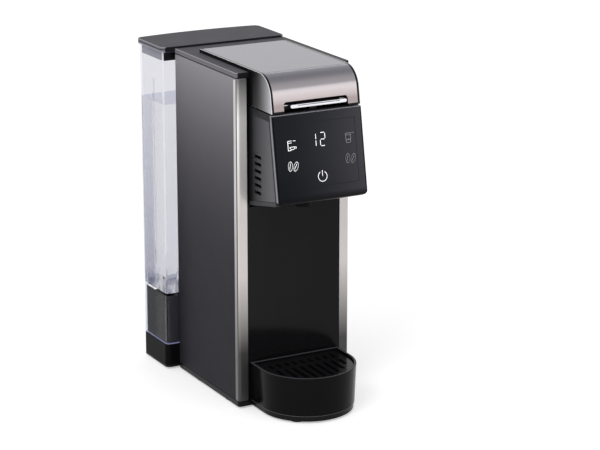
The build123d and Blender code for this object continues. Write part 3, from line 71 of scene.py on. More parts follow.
# Camera
# One pinhole camera fits the straight edges of the body: it stands in front and to the left, a
# little above the lid, and looks down on the machine through a long lens.
mm = 0.001
camera_place = Vector((-970.65, -1858.07, 766.4)) * mm
camera_azimuth = math.radians(-28.69)
camera_elevation = math.radians(16.12)
camera_lens = 134.83
film_width = 36.0
camera = bpy.data.objects.new("camera", bpy.data.cameras.new("camera"))
scene.collection.objects.link(camera)
camera.data.lens = camera_lens
camera.data.sensor_width = film_width
camera.location = camera_place
camera.rotation_euler = (math.pi / 2 - camera_elevation, 0, camera_azimuth)
scene.camera = camera


# Table and light
# The machine stands on a wide pale table in a white room with a grey ceiling. One large soft lamp
# hangs over its front left, a smaller one fills the right, and two narrow ones draw a line on the
# tray and on the bend of the lid.


class Signal:
    """A varying value inside a finish. Plain arithmetic on it adds the maths nodes."""

    def __init__(self, finish, socket):
        self.finish = finish
        self.socket = socket

    def maths(self, operation, *values):
        """One Math node on some values."""
        return self.finish.node("ShaderNodeMath", {"operation": operation}, dict(enumerate(values)))

    def __add__(self, other):
        return self.maths("ADD", self, other)

    def __sub__(self, other):
        return self.maths("SUBTRACT", self, other)

    def __rsub__(self, other):
        return self.maths("SUBTRACT", other, self)

    def __mul__(self, other):
        return self.maths("MULTIPLY", self, other)

    def __pow__(self, other):
        return self.maths("POWER", self, other)

    def size(self):
        return self.maths("ABSOLUTE", self)

    def below(self, limit):
        return self.maths("LESS_THAN", self, limit)

    def above(self, limit):
        return self.maths("GREATER_THAN", self, limit)

    def near(self, spot, reach):
        """1 within reach of a value, 0 elsewhere."""
        return (self - spot).size().below(reach)

    def held(self):
        """Kept between 0 and 1."""
        return self.finish.node("ShaderNodeClamp", inputs={0: self})

    def ramp(self, start, end):
        """0 at start and beyond it, 1 at end, and an even slope between them."""
        return ((self - start) * (1 / (end - start))).held()

    def spread(self, low, high):
        """A pattern from 0 to 1, stretched to run from low to high."""
        return self * (high - low) + low

    __radd__ = __add__
    __rmul__ = __mul__


class Finish:
    """A material or the world's light: its nodes, and what feeds its shader."""

    def __init__(self, block):
        block.use_nodes = True
        self.block = block
        self.tree = block.node_tree
        self.shader = self.tree.nodes.get("Principled BSDF")

    def node(self, kind, settings=None, inputs=None, output=0):
        """Adds a node: its kind, its settings, then the values or links of its sockets."""
        made = self.tree.nodes.new(kind)
        for key, value in (settings or {}).items():
            setattr(made, key, value)
        for key, value in (inputs or {}).items():
            self.plug(made.inputs[key], value)
        return Signal(self, made.outputs[output])

    def plug(self, socket, value):
        """Links a signal to a socket, or sets the socket's number, vector or screen code."""
        if isinstance(value, Signal):
            self.tree.links.new(value.socket, socket)
        else:
            socket.default_value = tone(value) if isinstance(value, str) else value

    def feed(self, **values):
        """Sets or links the shader's own sockets, named with _ for a space."""
        for key, value in values.items():
            self.plug(self.shader.inputs[key.replace("_", " ")], value)
        return self

    def place(self, axis):
        """The object's own X, Y or Z, in metres."""
        spot = self.node("ShaderNodeTexCoord", output="Object")
        return self.node("ShaderNodeSeparateXYZ", inputs={0: spot}, output=axis)

    def inward(self, low, high):
        """How far a spot lies inside the nearer side of a box, in metres."""
        return (high.x - low.x) / 2 - (self.place("X") - (low.x + high.x) / 2).size()

    def speckle(self, scale, stretch=(1, 1, 1), detail=2.0):
        """A soft random pattern from 0 to 1, with scale spots to the metre."""
        spot = self.node("ShaderNodeTexCoord", output="Object")
        drawn = self.node("ShaderNodeMapping", inputs={"Vector": spot, "Scale": stretch})
        inputs = {"Vector": drawn, "Scale": scale, "Detail": detail}
        return self.node("ShaderNodeTexNoise", inputs=inputs)

    def mix(self, share, first, second):
        """A colour between two others."""
        settings = {"data_type": "RGBA"}
        return self.node("ShaderNodeMix", settings, {0: share, 6: first, 7: second}, output=2)

    def blend(self, share, shader):
        """Mixes another shader over what the surface shows so far."""
        surface = self.tree.nodes["Material Output"].inputs["Surface"]
        so_far = Signal(self, surface.links[0].from_socket)
        self.plug(surface, self.node("ShaderNodeMixShader", inputs={0: share, 1: so_far, 2: shader}))

    def relief(self, height, depth, strength=1.0):
        """Presses a pattern into the surface, depth metres deep."""
        inputs = {"Strength": strength, "Distance": depth, "Height": height}
        return self.feed(Normal=self.node("ShaderNodeBump", inputs=inputs))


def tone(code):
    """The linear colour of a six-figure screen code."""
    parts = [int(code[place:place + 2], 16) / 255 for place in (0, 2, 4)]
    linear = [((part + 0.055) / 1.055) ** 2.4 if part > 0.04 else part / 12.92 for part in parts]
    return linear + [1.0]


def shade(code, share):
    """A screen colour made lighter or darker: share is 1 for the colour itself."""
    return [min(part * share, 1.0) for part in tone(code)[:3]] + [1.0]


def new_finish(name, code, roughness):
    """A material that starts as one even colour."""
    finish = Finish(bpy.data.materials.new(name))
    return finish.feed(Base_Color=code, Roughness=roughness)


def light_seen(finish):
    """1 where a ray comes from the camera, a mirror or clear plastic, 0 elsewhere."""
    seen = finish.node("ShaderNodeLightPath", output="Is Camera Ray")
    seen = seen + finish.node("ShaderNodeLightPath", output="Is Glossy Ray")
    seen = seen + finish.node("ShaderNodeLightPath", output="Is Transmission Ray")
    return seen.held()


room_light = 0.6
ceiling_shade = 0.38
ceiling_edge, ceiling_full = 0.79, 0.915
room = Finish(bpy.data.worlds.new("room"))
scene.world = room.block
way = room.node("ShaderNodeTexCoord", output="Generated")
rise = room.node("ShaderNodeSeparateXYZ", inputs={0: way}, output="Z")
ceiling = rise.ramp(ceiling_edge, ceiling_full)
strength = light_seen(room) * (1.0 - room_light - ceiling * ceiling_shade) + room_light
room.plug(room.tree.nodes["Background"].inputs["Color"], "ffffff")
room.plug(room.tree.nodes["Background"].inputs["Strength"], strength)


def piece_of(shape, name, finish):
    """Puts a finished shape in the scene."""
    piece = bpy.data.objects.new(name, bpy.data.meshes.new(name))
    shape.to_mesh(piece.data)
    shape.free()
    piece.data.materials.append(finish.block)
    scene.collection.objects.link(piece)
    return piece


table_reach = 9.0
table_glow = 0.45
table_finish = new_finish("table_top", "f4f4f5", 0.6)
uneven = table_finish.mix(table_finish.speckle(6), "f2f2f3", "f6f6f7")
glow = table_finish.mix(light_seen(table_finish), "000000", "ffffff")
table_finish.feed(Base_Color=uneven, Specular_IOR_Level=0.1)
table_finish.feed(Emission_Color=glow, Emission_Strength=table_glow)
table_shape = bmesh.new()
bmesh.ops.create_grid(table_shape, x_segments=1, y_segments=1, size=table_reach)
table = piece_of(table_shape, "table", table_finish)


def lamp(name, place, aim, width, height, watts):
    """A rectangular soft lamp that faces a point, in metres."""
    light = bpy.data.lights.new(name, "AREA")
    light.shape = "RECTANGLE"
    light.size = width
    light.size_y = height
    light.energy = watts
    holder = bpy.data.objects.new(name, light)
    scene.collection.objects.link(holder)
    holder.location = place
    holder.rotation_mode = "QUATERNION"
    holder.rotation_quaternion = (Vector(aim) - Vector(place)).to_track_quat("-Z", "Y")
    holder.visible_camera = False


machine_middle = (0.0, 0.0, 0.17)
lid_bend = (0.0, -0.08, 0.33)
lamp("soft_left", (-1.3, -0.9, 1.5), machine_middle, width=1.0, height=1.0, watts=12.0)
lamp("soft_right", (0.9, -1.65, 0.75), machine_middle, width=1.2, height=0.9, watts=3.0)
lamp("line_left", (-1.5, 0.15, 0.45), machine_middle, width=0.12, height=0.9, watts=1.4)
lamp("line_lid", (1.2, 1.74, 1.76), lid_bend, width=1.2, height=0.08, watts=0.9)


# Base pan
# A black moulded tray that closes the body from below and reaches forward as the half-round plate
# under the drip tray, where its thin edge shows as a dark band. Four screws hold it.
corner_angle = math.radians(35)
crease_angle = math.radians(40)
flat_angle = math.radians(0.6)
weld_reach = 0.001 * mm
face_reach = 0.05 * mm


def sharp_edges(shape):
    """The outer corners of a shape; its inner ones stay sharp."""
    return [line for line in shape.edges
            if line.is_manifold and line.is_convex and line.calc_face_angle() > corner_angle]


def eased(shape, lines, width, steps):
    """Rounds some edges of a shape, width in mm."""
    bmesh.ops.bevel(
        shape, geom=lines, offset=width * mm, offset_type="OFFSET", segments=steps, profile=0.5,
        affect="EDGES", clamp_overlap=True, material=-1,
    )


def finished(node, finish, edge, steps=2, flank=0.0):
    """The piece as it leaves its tool: a merged copy with its sharp edges rounded, edge in mm.
    The outlines of its left and right faces are rounded by flank instead."""
    source = frame["nodes"][node]
    shape = bmesh.new()
    shape.from_mesh(source.data)
    bmesh.ops.remove_doubles(shape, verts=shape.verts, dist=weld_reach)
    bmesh.ops.dissolve_limit(shape, angle_limit=flat_angle, verts=shape.verts, edges=shape.edges)
    if flank:
        low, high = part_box(node)
        outline = [line for line in sharp_edges(shape) if all(
            min(vert.co.x - low.x, high.x - vert.co.x) < face_reach for vert in line.verts)]
        eased(shape, outline, flank, steps=4)
    eased(shape, sharp_edges(shape), edge, steps)
    for face in shape.faces:
        face.smooth = True
    for line in shape.edges:
        line.smooth = not line.is_manifold or line.calc_face_angle() < crease_angle
    piece = piece_of(shape, node + "_finished", finish)
    even = piece.modifiers.new("even_shading", "WEIGHTED_NORMAL")
    even.keep_sharp = True
    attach(piece, source["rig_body"])
    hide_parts(node)


def coated(node, finish):
    """Gives a CAD piece its finish as it is."""
    shown = frame["nodes"][node]
    shown.data.materials.clear()
    shown.data.materials.append(finish.block)


def gloss_black(name):
    """Polished black plastic with faint wipe marks."""
    finish = new_finish(name, "131315", 0.16)
    wiped = finish.speckle(45, (1, 1, 0.3), 4.0)
    finish.feed(Base_Color=finish.mix(wiped, "0f0f11", "161618"))
    finish.feed(Roughness=wiped.spread(0.12, 0.2), Specular_IOR_Level=0.1)
    return finish.relief(finish.speckle(90), 0.02 * mm)


def moulded(name, code, roughness, drift=0.12, specular=0.1):
    """Plastic with a fine spark-eroded texture. Its colour drifts by a share either way."""
    finish = new_finish(name, code, roughness)
    cloud = finish.speckle(30, detail=5.0)
    wear_and_highlight = finish.speckle(60, detail=3.0)
    finish.feed(Base_Color=finish.mix(cloud, shade(code, 1 - drift), shade(code, 1 + drift)))
    finish.feed(Roughness=wear_and_highlight.spread(roughness - 0.06, roughness + 0.06))
    finish.feed(Specular_IOR_Level=specular)
    return finish.relief(finish.speckle(2500, detail=1.0), 0.03 * mm, 0.6)


base_black = gloss_black("base_black")
finished("base_pan", base_black, edge=0.35)


# Feet and screws
# Eight pushed-in rubber pads carry the machine. Four zinc-plated screws hold the pan to the side
# panels, and four more hold the mains board.


def rubber(name, code):
    """Dull rubber with a dusty surface."""
    finish = new_finish(name, code, 0.75)
    dust = finish.speckle(120, detail=6.0)
    finish.feed(Base_Color=finish.mix(dust, code, "3a3a3b"))
    finish.feed(Roughness=dust.spread(0.65, 0.85), Specular_IOR_Level=0.2)
    return finish.relief(dust, 0.1 * mm)


def plated(name, code, roughness):
    """Plated or plain steel with short tool marks."""
    finish = new_finish(name, code, roughness)
    marks = finish.speckle(300, (1, 1, 6), 4.0)
    finish.feed(Base_Color=finish.mix(marks, code, shade(code, 1.15)), Metallic=1.0)
    finish.feed(Roughness=marks.spread(roughness, roughness + 0.15))
    return finish.relief(marks, 0.02 * mm)


foot_rubber = rubber("foot_rubber", "161616")
zinc = plated("zinc", "b4b4b0", roughness=0.3)
coated("rubber_feet", foot_rubber)
coated("screws", zinc)


# Side panels
# Each side is one satin grey moulding, screwed to the base pan. A soft sheen is painted on its upper
# half and fades to painted shade, near black, at the foot, over a very fine texture.
side_reach = 330 * mm


def satin_side(name):
    """Satin grey plastic with a painted sheen that fades to painted shade toward the foot."""
    finish = new_finish(name, "4c4b50", 0.42)
    height = finish.place("Z").ramp(0.0, side_reach)
    wear_and_highlight = finish.speckle(50, detail=4.0)
    # painted sheen and shade: near black at the foot, pale grey at the top
    finish.feed(Base_Color=finish.mix(height ** 4.4, "211f25", "959297"))
    finish.feed(Roughness=wear_and_highlight.spread(0.42, 0.52), Specular_IOR_Level=0.06)
    return finish.relief(finish.speckle(3000, detail=1.0), 0.02 * mm, 0.5)


side_satin = satin_side("side_satin")
finished("side_panel_left", side_satin, edge=0.4)
finished("side_panel_right", side_satin, edge=0.4)


# Trim strips
# Two folded strips of brushed stainless steel wrap the front corners of the body. The grain runs
# up the strip and the metal is a little warm. Reflection is painted on them: dark at the foot,
# bright in the middle, darker at the top and on the wrapped sides, with a painted shade line
# beside each fold.


def brushed(name, code, along, roughness, metal):
    """Stainless steel brushed in one direction."""
    finish = new_finish(name, code, roughness)
    stretch = tuple(0.02 if axis == along else 1.0 for axis in "XYZ")
    grain = finish.speckle(2600, stretch, 2.0)
    broad = finish.speckle(160, stretch, 3.0)
    finish.feed(Base_Color=finish.mix(broad, shade(code, 0.86), code))
    finish.feed(Metallic=metal, Roughness=grain * 0.14 + broad * 0.06 + (roughness - 0.08))
    return finish.relief(grain, 0.012 * mm)


def folded_steel(name, low, high):
    """Brushed steel with painted reflection, dark at the foot, bright in the middle, darker at the
    top and on the wrapped side, with a painted shade line beside the fold.
    """
    sheet, half_line = 0.62 * mm, 0.65 * mm
    line_middle, wrap_start = low.y + 1.6 * mm, low.y + 2.2 * mm
    foot_fade, middle_fade = (55 * mm, 131.9 * mm), (190 * mm, 273.3 * mm)
    top_fade, wrap_fade = (285 * mm, 320.7 * mm), (50 * mm, 216.7 * mm)
    finish = brushed(name, "cbc4c1", along="Z", roughness=0.36, metal=0.35)
    up = finish.place("Z")
    back = finish.place("Y")
    flank = finish.inward(low, high).below(sheet)
    # painted shade line beside the fold
    line = flank * back.near(line_middle, half_line)
    wrap = flank * back.above(wrap_start)
    # painted reflection down the front and on the wrapped side
    front = finish.mix(up.ramp(*foot_fade), "3c3b3a", "d2ccc9")
    front = finish.mix(up.ramp(*middle_fade), front, "f6f3f1")
    front = finish.mix(up.ramp(*top_fade), front, "7a7877")
    shaded_wrap = finish.mix(up.ramp(*wrap_fade), "666464", "c8c6c6")
    steel = finish.mix(wrap, front, shaded_wrap)
    return finish.feed(Base_Color=finish.mix(line, steel, "4a4848"))


trims_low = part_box("trim_strip_left")[0]
trims_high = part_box("trim_strip_right")[1]
trim_steel = folded_steel("trim_steel", trims_low, trims_high)
finished("trim_strip_left", trim_steel, edge=0.15)
finished("trim_strip_right", trim_steel, edge=0.15)


# Front column
# A polished black moulding, slightly hollow across its width. It fills the space between the two
# trims and has a notch for the head.
column_black = gloss_black("column_black")
finished("front_column", column_black, edge=0.25)


# Rear panel
# A plain black moulding with cooling slits, which closes the back of the body. It faces the tank,
# so little of it is seen.
rear_black = moulded("rear_black", "1c1c1e", roughness=0.5)
finished("rear_panel", rear_black, edge=0.3)


# Top deck
# A matte charcoal moulding that frames the lid. A thin highlight is painted along its rounded upper
# edge and its sides are painted lighter than its top, its front ends are black, and a dark seam
# parts it from the side panels.
deck_seam = 323.6 * mm
deck_skirt = 0.7 * mm


def charcoal(name, node, seam, skirt):
    """Matte charcoal with sides painted lighter than its top, a painted highlight line round its top,
    a dark seam at one height and black front ends. The front of its skirt, set back by skirt, is
    black too."""
    half_seam, highlight_line, top_face = 0.45 * mm, 0.5 * mm, 0.06 * mm
    front_end, skirt_drop = 0.7 * mm, 3.0 * mm
    finish = moulded(name, "4b494e", roughness=0.5, drift=0.06, specular=0.04)
    low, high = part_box(node)
    up = finish.place("Z")
    back = finish.place("Y")
    # painted light: the sides are lighter than the top face
    side = finish.mix(up.below(seam - 2 * half_seam), "727076", "8d8c94")
    side = finish.mix(up.near(seam - half_seam, half_seam), side, "101012")
    # painted highlight along the rounded top edge
    side = finish.mix(up.above(high.z - highlight_line), side, "a9a8ad")
    side = finish.mix(up.above(high.z - top_face), side, "504e53")
    skirt_front = up.below(seam - skirt_drop) * back.below(low.y + skirt)
    front = back.below(low.y + front_end) + skirt_front
    return finish.feed(Base_Color=finish.mix(front.held(), side, "202023"))


deck_charcoal = charcoal("deck_charcoal", "top_deck", deck_seam, deck_skirt)
finished("top_deck", deck_charcoal, edge=0.25)


# Brew deck
# The black moulded well under the lid takes the pod holder. It also forms the rim of the head, the
# lugs of the hinge and the lid's catch.
well_black = moulded("well_black", "1b1b1d", roughness=0.38)
coated("brew_deck", well_black)


# Head
# The head is a satin grey moulding with six cooling slots in each side, closed from below by a
# tray-shaped cover. A thin shadow line parts the two. A highlight and a shade line are painted along
# the shell's front border, and its sides are painted darker toward the rear, where shade falls.
glass_lean = math.radians(9.8)
glass_top = Vector((6.25, -104.967, 295.2)) * mm
head_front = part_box("head_housing")[0].y
shade_start, shade_end = head_front + 12 * mm, head_front + 47.7 * mm
highlight_border, shade_border = 5.2 * mm, 7.4 * mm


def behind_glass(finish):
    """How far a spot lies behind the front face of the leaning glass."""
    slope = math.tan(glass_lean)
    return finish.place("Y") - (finish.place("Z") * slope + (glass_top.y - glass_top.z * slope))


head_satin = moulded("head_satin", "58585c", roughness=0.36, drift=0.05)
cover_black = moulded("cover_black", "3a3a3e", roughness=0.34)
head_depth = behind_glass(head_satin)
# painted shade: the sides darken toward the rear
shaded = head_satin.place("Y").ramp(shade_start, shade_end)
head_side = head_satin.mix(shaded, "5c5c60", "1b1b1d")
# painted shade line and, in front of it, a painted highlight along the front border
head_side = head_satin.mix(head_depth.below(shade_border), head_side, "101012")
head_side = head_satin.mix(head_depth.below(highlight_border), head_side, "78787d")
head_satin.feed(Base_Color=head_side)
finished("head_housing", head_satin, edge=0.3)
finished("head_bottom_cover", cover_black, edge=0.4)


# Panel bezel
# A black moulded frame holds the glass. Thin painted highlights run along its sides, behind the
# glass, and along its top and foot.


def lined_black(name):
    """Black plastic with painted highlight lines of silver flake round the glass."""
    finish = new_finish(name, "0c0c0e", 0.3)
    low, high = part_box("panel_bezel")
    side_line, top_line, foot_line = 0.12 * mm, 0.7 * mm, 0.5 * mm
    side_depth, top_depth = 1.7 * mm, 3.0 * mm
    up = finish.place("Z")
    depth = behind_glass(finish)
    # painted highlights along the sides, the top and the foot
    sides = finish.inward(low, high).below(side_line) * depth.above(side_depth)
    top = up.above(high.z - top_line) * depth.below(top_depth)
    painted = (sides + top + up.below(low.z + foot_line)).held()
    spot = finish.node("ShaderNodeTexCoord", output="Object")
    flake = finish.node("ShaderNodeTexVoronoi", inputs={"Vector": spot, "Scale": 9000.0})
    highlight_silver = finish.mix(flake, "7c7c82", "939399")
    finish.feed(Base_Color=finish.mix(painted, "0c0c0e", highlight_silver), Metallic=painted * 0.3)
    return finish.feed(Roughness=flake.spread(0.26, 0.36), Specular_IOR_Level=0.03)


bezel_highlights = lined_black("bezel_highlights")
finished("panel_bezel", bezel_highlights, edge=0.2)


# Touch glass
# One sheet of dark glass covers the front of the head and bends under at its lower edge. It lies
# in the bezel, in front of the display.


def smoked_glass(name):
    """Dark glass with painted reflection: bluer at the left, lighter at the right and black where it
    bends under.
    """
    blue_side, pale_side = -38.7 * mm, 51.3 * mm
    bend_foot, bend_top = 214.5 * mm, 220.75 * mm
    finish = new_finish(name, "202226", 0.07)
    across = finish.place("X").ramp(blue_side, pale_side)
    straight = finish.place("Z").ramp(bend_foot, bend_top)
    # painted reflection across the glass and on its bend
    painted_reflection = finish.mix(across ** 1.8, "12161b", "424147")
    finish.feed(Base_Color=finish.mix(straight, "08080a", painted_reflection))
    smear = finish.speckle(35, (1, 1, 0.4), 4.0)
    return finish.feed(Roughness=smear.spread(0.05, 0.11), Specular_IOR_Level=0.06)


panel_glass = smoked_glass("panel_glass")
finished("control_panel", panel_glass, edge=0.5, steps=3)


# Lit marks
# The marks are printed on the display's film and shine through the glass: a size in seven-segment
# numerals, a power ring, and a sign and beans for each kind of coffee. The pair at the right is
# not chosen, so it is dim. Their sizes are in mm on the glass.
mark_lift = 0.06 * mm
mark_sheet = 0.05 * mm
stroke, thin = 0.5, 0.4
segment_gap = 1.2


def glowing(name, code, strength):
    """A print that light shines through."""
    finish = new_finish(name, code, 0.4)
    lit = finish.mix(finish.speckle(400, detail=3.0), code, shade(code, 1.1))
    finish.feed(Base_Color=lit, Emission_Color=lit)
    return finish.feed(Emission_Strength=strength, Specular_IOR_Level=0.1)


def turned(shape, verts, turn):
    """Turns some points about the middle of the drawing, in degrees."""
    bmesh.ops.rotate(shape, verts=verts, matrix=Matrix.Rotation(math.radians(turn), 3, "Z"))


def bar(shape, x, z, width, height, turn=0.0):
    """A short stroke centred at x, z, in mm on the glass, turned in degrees."""
    made = bmesh.ops.create_grid(shape, x_segments=1, y_segments=1, size=0.5)["verts"]
    bmesh.ops.scale(shape, verts=made, vec=(width, height, 1))
    turned(shape, made, turn)
    bmesh.ops.translate(shape, verts=made, vec=(x, z, 0))


def arc(shape, x, z, radius, start, sweep, width, narrow=1.0, turn=0.0):
    """A bent stroke round x, z, with a step every 12 degrees. Narrow squeezes it across before it
    is turned."""
    inner = shape.verts.new((radius - width / 2, 0, 0))
    outer = shape.verts.new((radius + width / 2, 0, 0))
    line = shape.edges.new((inner, outer))
    turned(shape, [inner, outer], start)
    before = set(shape.verts) - {inner, outer}
    bmesh.ops.spin(
        shape, geom=[inner, outer, line], axis=(0, 0, 1), cent=(0, 0, 0),
        angle=math.radians(sweep), steps=sweep // 12, use_merge=sweep == 360,
    )
    made = [vert for vert in shape.verts if vert not in before]
    bmesh.ops.scale(shape, verts=made, vec=(narrow, 1, 1))
    turned(shape, made, turn)
    bmesh.ops.translate(shape, verts=made, vec=(x, z, 0))


def draw_size(shape):
    """The two numerals of the size, each segment a stroke with a gap at its ends."""
    digit_width, digit_half = 5.0, 6.0
    across, upright = digit_width - segment_gap, digit_half - segment_gap
    first_x, second_x, middle = -3.4, 3.7, 269.3
    for z in (-digit_half, 0, digit_half):
        bar(shape, second_x, middle + z, across, stroke)
    for side in (-1, 1):
        bar(shape, first_x, middle + side * digit_half / 2, stroke, upright)
        bar(shape, second_x + side * digit_width / 2, middle + side * digit_half / 2, stroke, upright)


def draw_power(shape):
    """The open ring and bar of a power switch."""
    x, z, ring_stroke = 0.7, 235.6, 0.45
    arc(shape, x, z, 4.6, 120, 300, width=ring_stroke)
    bar(shape, x, z + 3.0, ring_stroke, 5.2)


def draw_hot_sign(shape, x, z):
    """The sign of a hot drink: a tall spout that pours into a bowl with a handle."""
    bar(shape, x - 3.9, z, stroke, 8.4)
    bar(shape, x - 2.4, z - 4.2, 3.0, stroke)
    for rise in (4.4, 2.6):
        bar(shape, x - 1.9, z + rise, 4.2, thin)
    bar(shape, x + 2.9, z + 4.2, 2.6, thin)
    arc(shape, x + 0.6, z - 1.2, 2.4, 180, 180, narrow=1.1, width=thin)
    bar(shape, x + 0.6, z - 1.2, 5.4, thin)
    arc(shape, x + 3.6, z - 2.1, 0.9, -80, 160, width=thin)


def draw_iced_sign(shape, x, z):
    """The sign of an iced drink: two leaning sides, three levels and a wave of ice."""
    for side in (-1, 1):
        bar(shape, x + side * 2.5, z, thin, 8.6, side * -3)
    for rise, width in ((-4.3, 4.4), (4.3, 5.2), (2.6, 4.8)):
        bar(shape, x, z + rise, width, thin)
    arc(shape, x - 0.9, z - 0.4, 1.4, 200, 150, width=thin)
    arc(shape, x + 1.0, z - 2.6, 1.2, 20, 140, width=thin)
    bar(shape, x + 5.0, z + 4.3, 2.4, thin)


def draw_beans(shape, x, z):
    """Two coffee beans side by side, each with its crease."""
    for side, turn in ((-1, -6), (1, -20)):
        bean_x, bean_z = x + side * 2.9, z - side * 0.3
        arc(shape, bean_x, bean_z, 4.2, 0, 360, narrow=0.52, turn=turn, width=thin)
        bar(shape, bean_x - 0.3, bean_z, thin, 5.4, turn - 10)


def lit_piece(name, finish, draw):
    """Marks drawn flat in mm, laid on the glass and given a thin sheet's depth."""
    shape = bmesh.new()
    draw(shape)
    bmesh.ops.remove_doubles(shape, verts=shape.verts, dist=weld_reach / mm)
    bmesh.ops.translate(shape, verts=shape.verts, vec=(0, -glass_top.z / mm, 0))
    bmesh.ops.scale(shape, verts=shape.verts, vec=(mm, mm / math.cos(glass_lean), 1))
    upright = Matrix.Rotation(math.pi / 2 - glass_lean, 3, "X")
    bmesh.ops.rotate(shape, verts=shape.verts, matrix=upright)
    out = Vector((0, -math.cos(glass_lean), math.sin(glass_lean)))
    bmesh.ops.translate(shape, verts=shape.verts, vec=glass_top + out * mark_lift)
    bmesh.ops.recalc_face_normals(shape, faces=shape.faces)
    bmesh.ops.solidify(shape, geom=shape.faces[:], thickness=mark_sheet)
    piece = piece_of(shape, name, finish)
    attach(piece, "machine")


def draw_chosen(shape):
    """Everything that is lit brightly."""
    draw_size(shape)
    draw_power(shape)
    draw_hot_sign(shape, -28.8, 266.8)
    draw_beans(shape, -29.0, 248.0)


def draw_idle(shape):
    """The marks that wait, dim, at the right."""
    draw_iced_sign(shape, 30.6, 267.4)
    draw_beans(shape, 31.4, 248.6)


def draw_window(shape):
    """The hardly visible edge of the display behind the glass."""
    half_width, low, high, edge = 38.7, 227.0, 285.8, 0.3
    for x in (-half_width, half_width):
        bar(shape, x, (low + high) / 2, edge, high - low)
    for z in (low, high):
        bar(shape, 0, z, 2 * half_width, edge)


lit_piece("marks_chosen", glowing("lit_white", "f4f4f6", strength=0.9), draw_chosen)
lit_piece("marks_idle", glowing("lit_dim", "7c7c82", strength=0.5), draw_idle)
lit_piece("display_edge", glowing("display_edge", "141519", strength=0.01), draw_window)


# Boards
# The touch board behind the glass and the mains board are green lacquered laminate, with a woven
# look under the lacquer. The parts on them are moulded in one with them here.


def circuit_green(name):
    """Lacquered laminate with a faint weave, paler over its copper."""
    finish = new_finish(name, "0f3f22", 0.3)
    weave = finish.speckle(1800, (1, 1, 0.2), 1.0)
    copper = finish.speckle(420, (1, 6, 6), 0.0).above(0.56)
    finish.feed(Base_Color=finish.mix(copper, "0e3a1f", "1b5a32"))
    finish.feed(Roughness=weave.spread(0.22, 0.37))
    return finish.relief(weave, 0.03 * mm)


board_green = circuit_green("board_green")
coated("touch_board", board_green)
coated("power_board", board_green)


# Pod holder and outlet
# The black moulded holder that takes the pod lifts out of the well. Its drain runs through a funnel
# to the short outlet pipe in the head's floor, and a steel point in its floor pierces the pod.
holder_black = moulded("holder_black", "1f1f21", roughness=0.3)
spout_black = moulded("spout_black", "121214", roughness=0.6, specular=0.05)
point_steel = plated("point_steel", "c2c2c4", roughness=0.18)
finished("pod_holder", holder_black, edge=0.3)
finished("outlet_spout", spout_black, edge=0.3)
coated("brew_funnel", holder_black)
coated("lower_needle", point_steel)


# Lid skin
# A sheet of brushed stainless steel bent over the front of the lid, with the grain across it. A
# black border is printed along both sides. Reflection is painted on it: the top darker than the
# front, and the front darker toward its foot.
border_width = 0.9 * mm
bend_fade, foot_fade = (328.5 * mm, 308.5 * mm), (314.5 * mm, 303.4 * mm)
lid_steel = brushed("lid_steel", "8b8a8f", along="X", roughness=0.17, metal=1.0)
# painted reflection: the top is darker than the front, which darkens toward its foot
down = lid_steel.place("Z").ramp(*bend_fade)
foot = lid_steel.place("Z").ramp(*foot_fade)
front = lid_steel.mix(foot, "b8b0b0", "897e7f")
border = lid_steel.inward(*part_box("lid_skin")).below(border_width)
lid_steel.feed(Base_Color=lid_steel.mix(border, lid_steel.mix(down, "7e7d85", front), "0a0a0b"))
finished("lid_skin", lid_steel, edge=0.2)


# Lid body
# The gloss black moulding that carries the steel, with the recess for the handle and the two
# hinge knuckles. A highlight is painted on the rounded edge of its sides and a grey sheen on their
# front.


def lid_sides(name, low, high):
    """Gloss black with a painted highlight on the rounded edge round its flat sides, and a painted
    grey sheen on them toward the front.
    """
    rounding, sheen = 0.6 * mm, 45 * mm
    finish = gloss_black(name)
    flat = finish.inward(low, high).below(face_reach)
    # painted highlight on the rounded edge
    edge = finish.inward(low, high).below(rounding) - flat
    front = finish.place("Y").ramp(low.y + sheen, low.y)
    # painted sheen: the flat sides turn grey toward the front
    painted_sheen = finish.mix(flat * front ** 3.0, "101012", "c6c6ca")
    return finish.feed(Base_Color=finish.mix(edge, painted_sheen, "f0f0f2"))


lid_black = lid_sides("lid_black", *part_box("lid_body"))
finished("lid_body", lid_black, edge=0.25, flank=1.0)


# Lid works
# A black moulded plate closes the lid from below. It carries the steel upper needle, the silicone
# ring round it and the silicone tube that brings the water.


def silicone(name, code):
    """Cloudy silicone rubber."""
    finish = new_finish(name, code, 0.4)
    cloud = finish.speckle(150, detail=4.0)
    finish.feed(Base_Color=finish.mix(cloud, code, shade(code, 1.2)))
    finish.feed(Roughness=cloud.spread(0.33, 0.48))
    return finish.relief(cloud, 0.05 * mm)


lid_under = moulded("lid_under", "212123", roughness=0.45)
pale_silicone = silicone("pale_silicone", "b9b7b0")
finished("lid_inner_cover", lid_under, edge=0.25)
coated("upper_needle", point_steel)
coated("needle_seal", pale_silicone)
coated("lid_water_tube", pale_silicone)


# Hinge and latch
# Ground steel pins carry the lid and the handle. The handle is a moulded black lever whose front
# bar, with rounded ends, is bright plated.


def bright_front(name, low, high):
    """Black plastic, bright plated on the front bar, with a painted shade line near the bar's top."""
    shade_line_drop, half_shade_line, shade_line_reach = 0.95 * mm, 0.3 * mm, 22 * mm
    bar_depth = 2.3 * mm
    finish = new_finish(name, "dcdce0", 0.12)
    haze = finish.speckle(200, (0.2, 1, 1), 3.0)
    # painted shade line across the plated bar
    shade_line = finish.place("Z").near(high.z - shade_line_drop, half_shade_line)
    shade_line = shade_line * finish.place("X").near((low.x + high.x) / 2, shade_line_reach)
    bright = finish.place("Y").below(low.y + bar_depth) * (1.0 - shade_line)
    plating = finish.mix(haze, "cfcfd4", "ececf0")
    finish.feed(Base_Color=finish.mix(bright, "161618", plating), Metallic=bright)
    return finish.feed(Roughness=haze.spread(0.08, 0.18), Specular_IOR_Level=0.15)


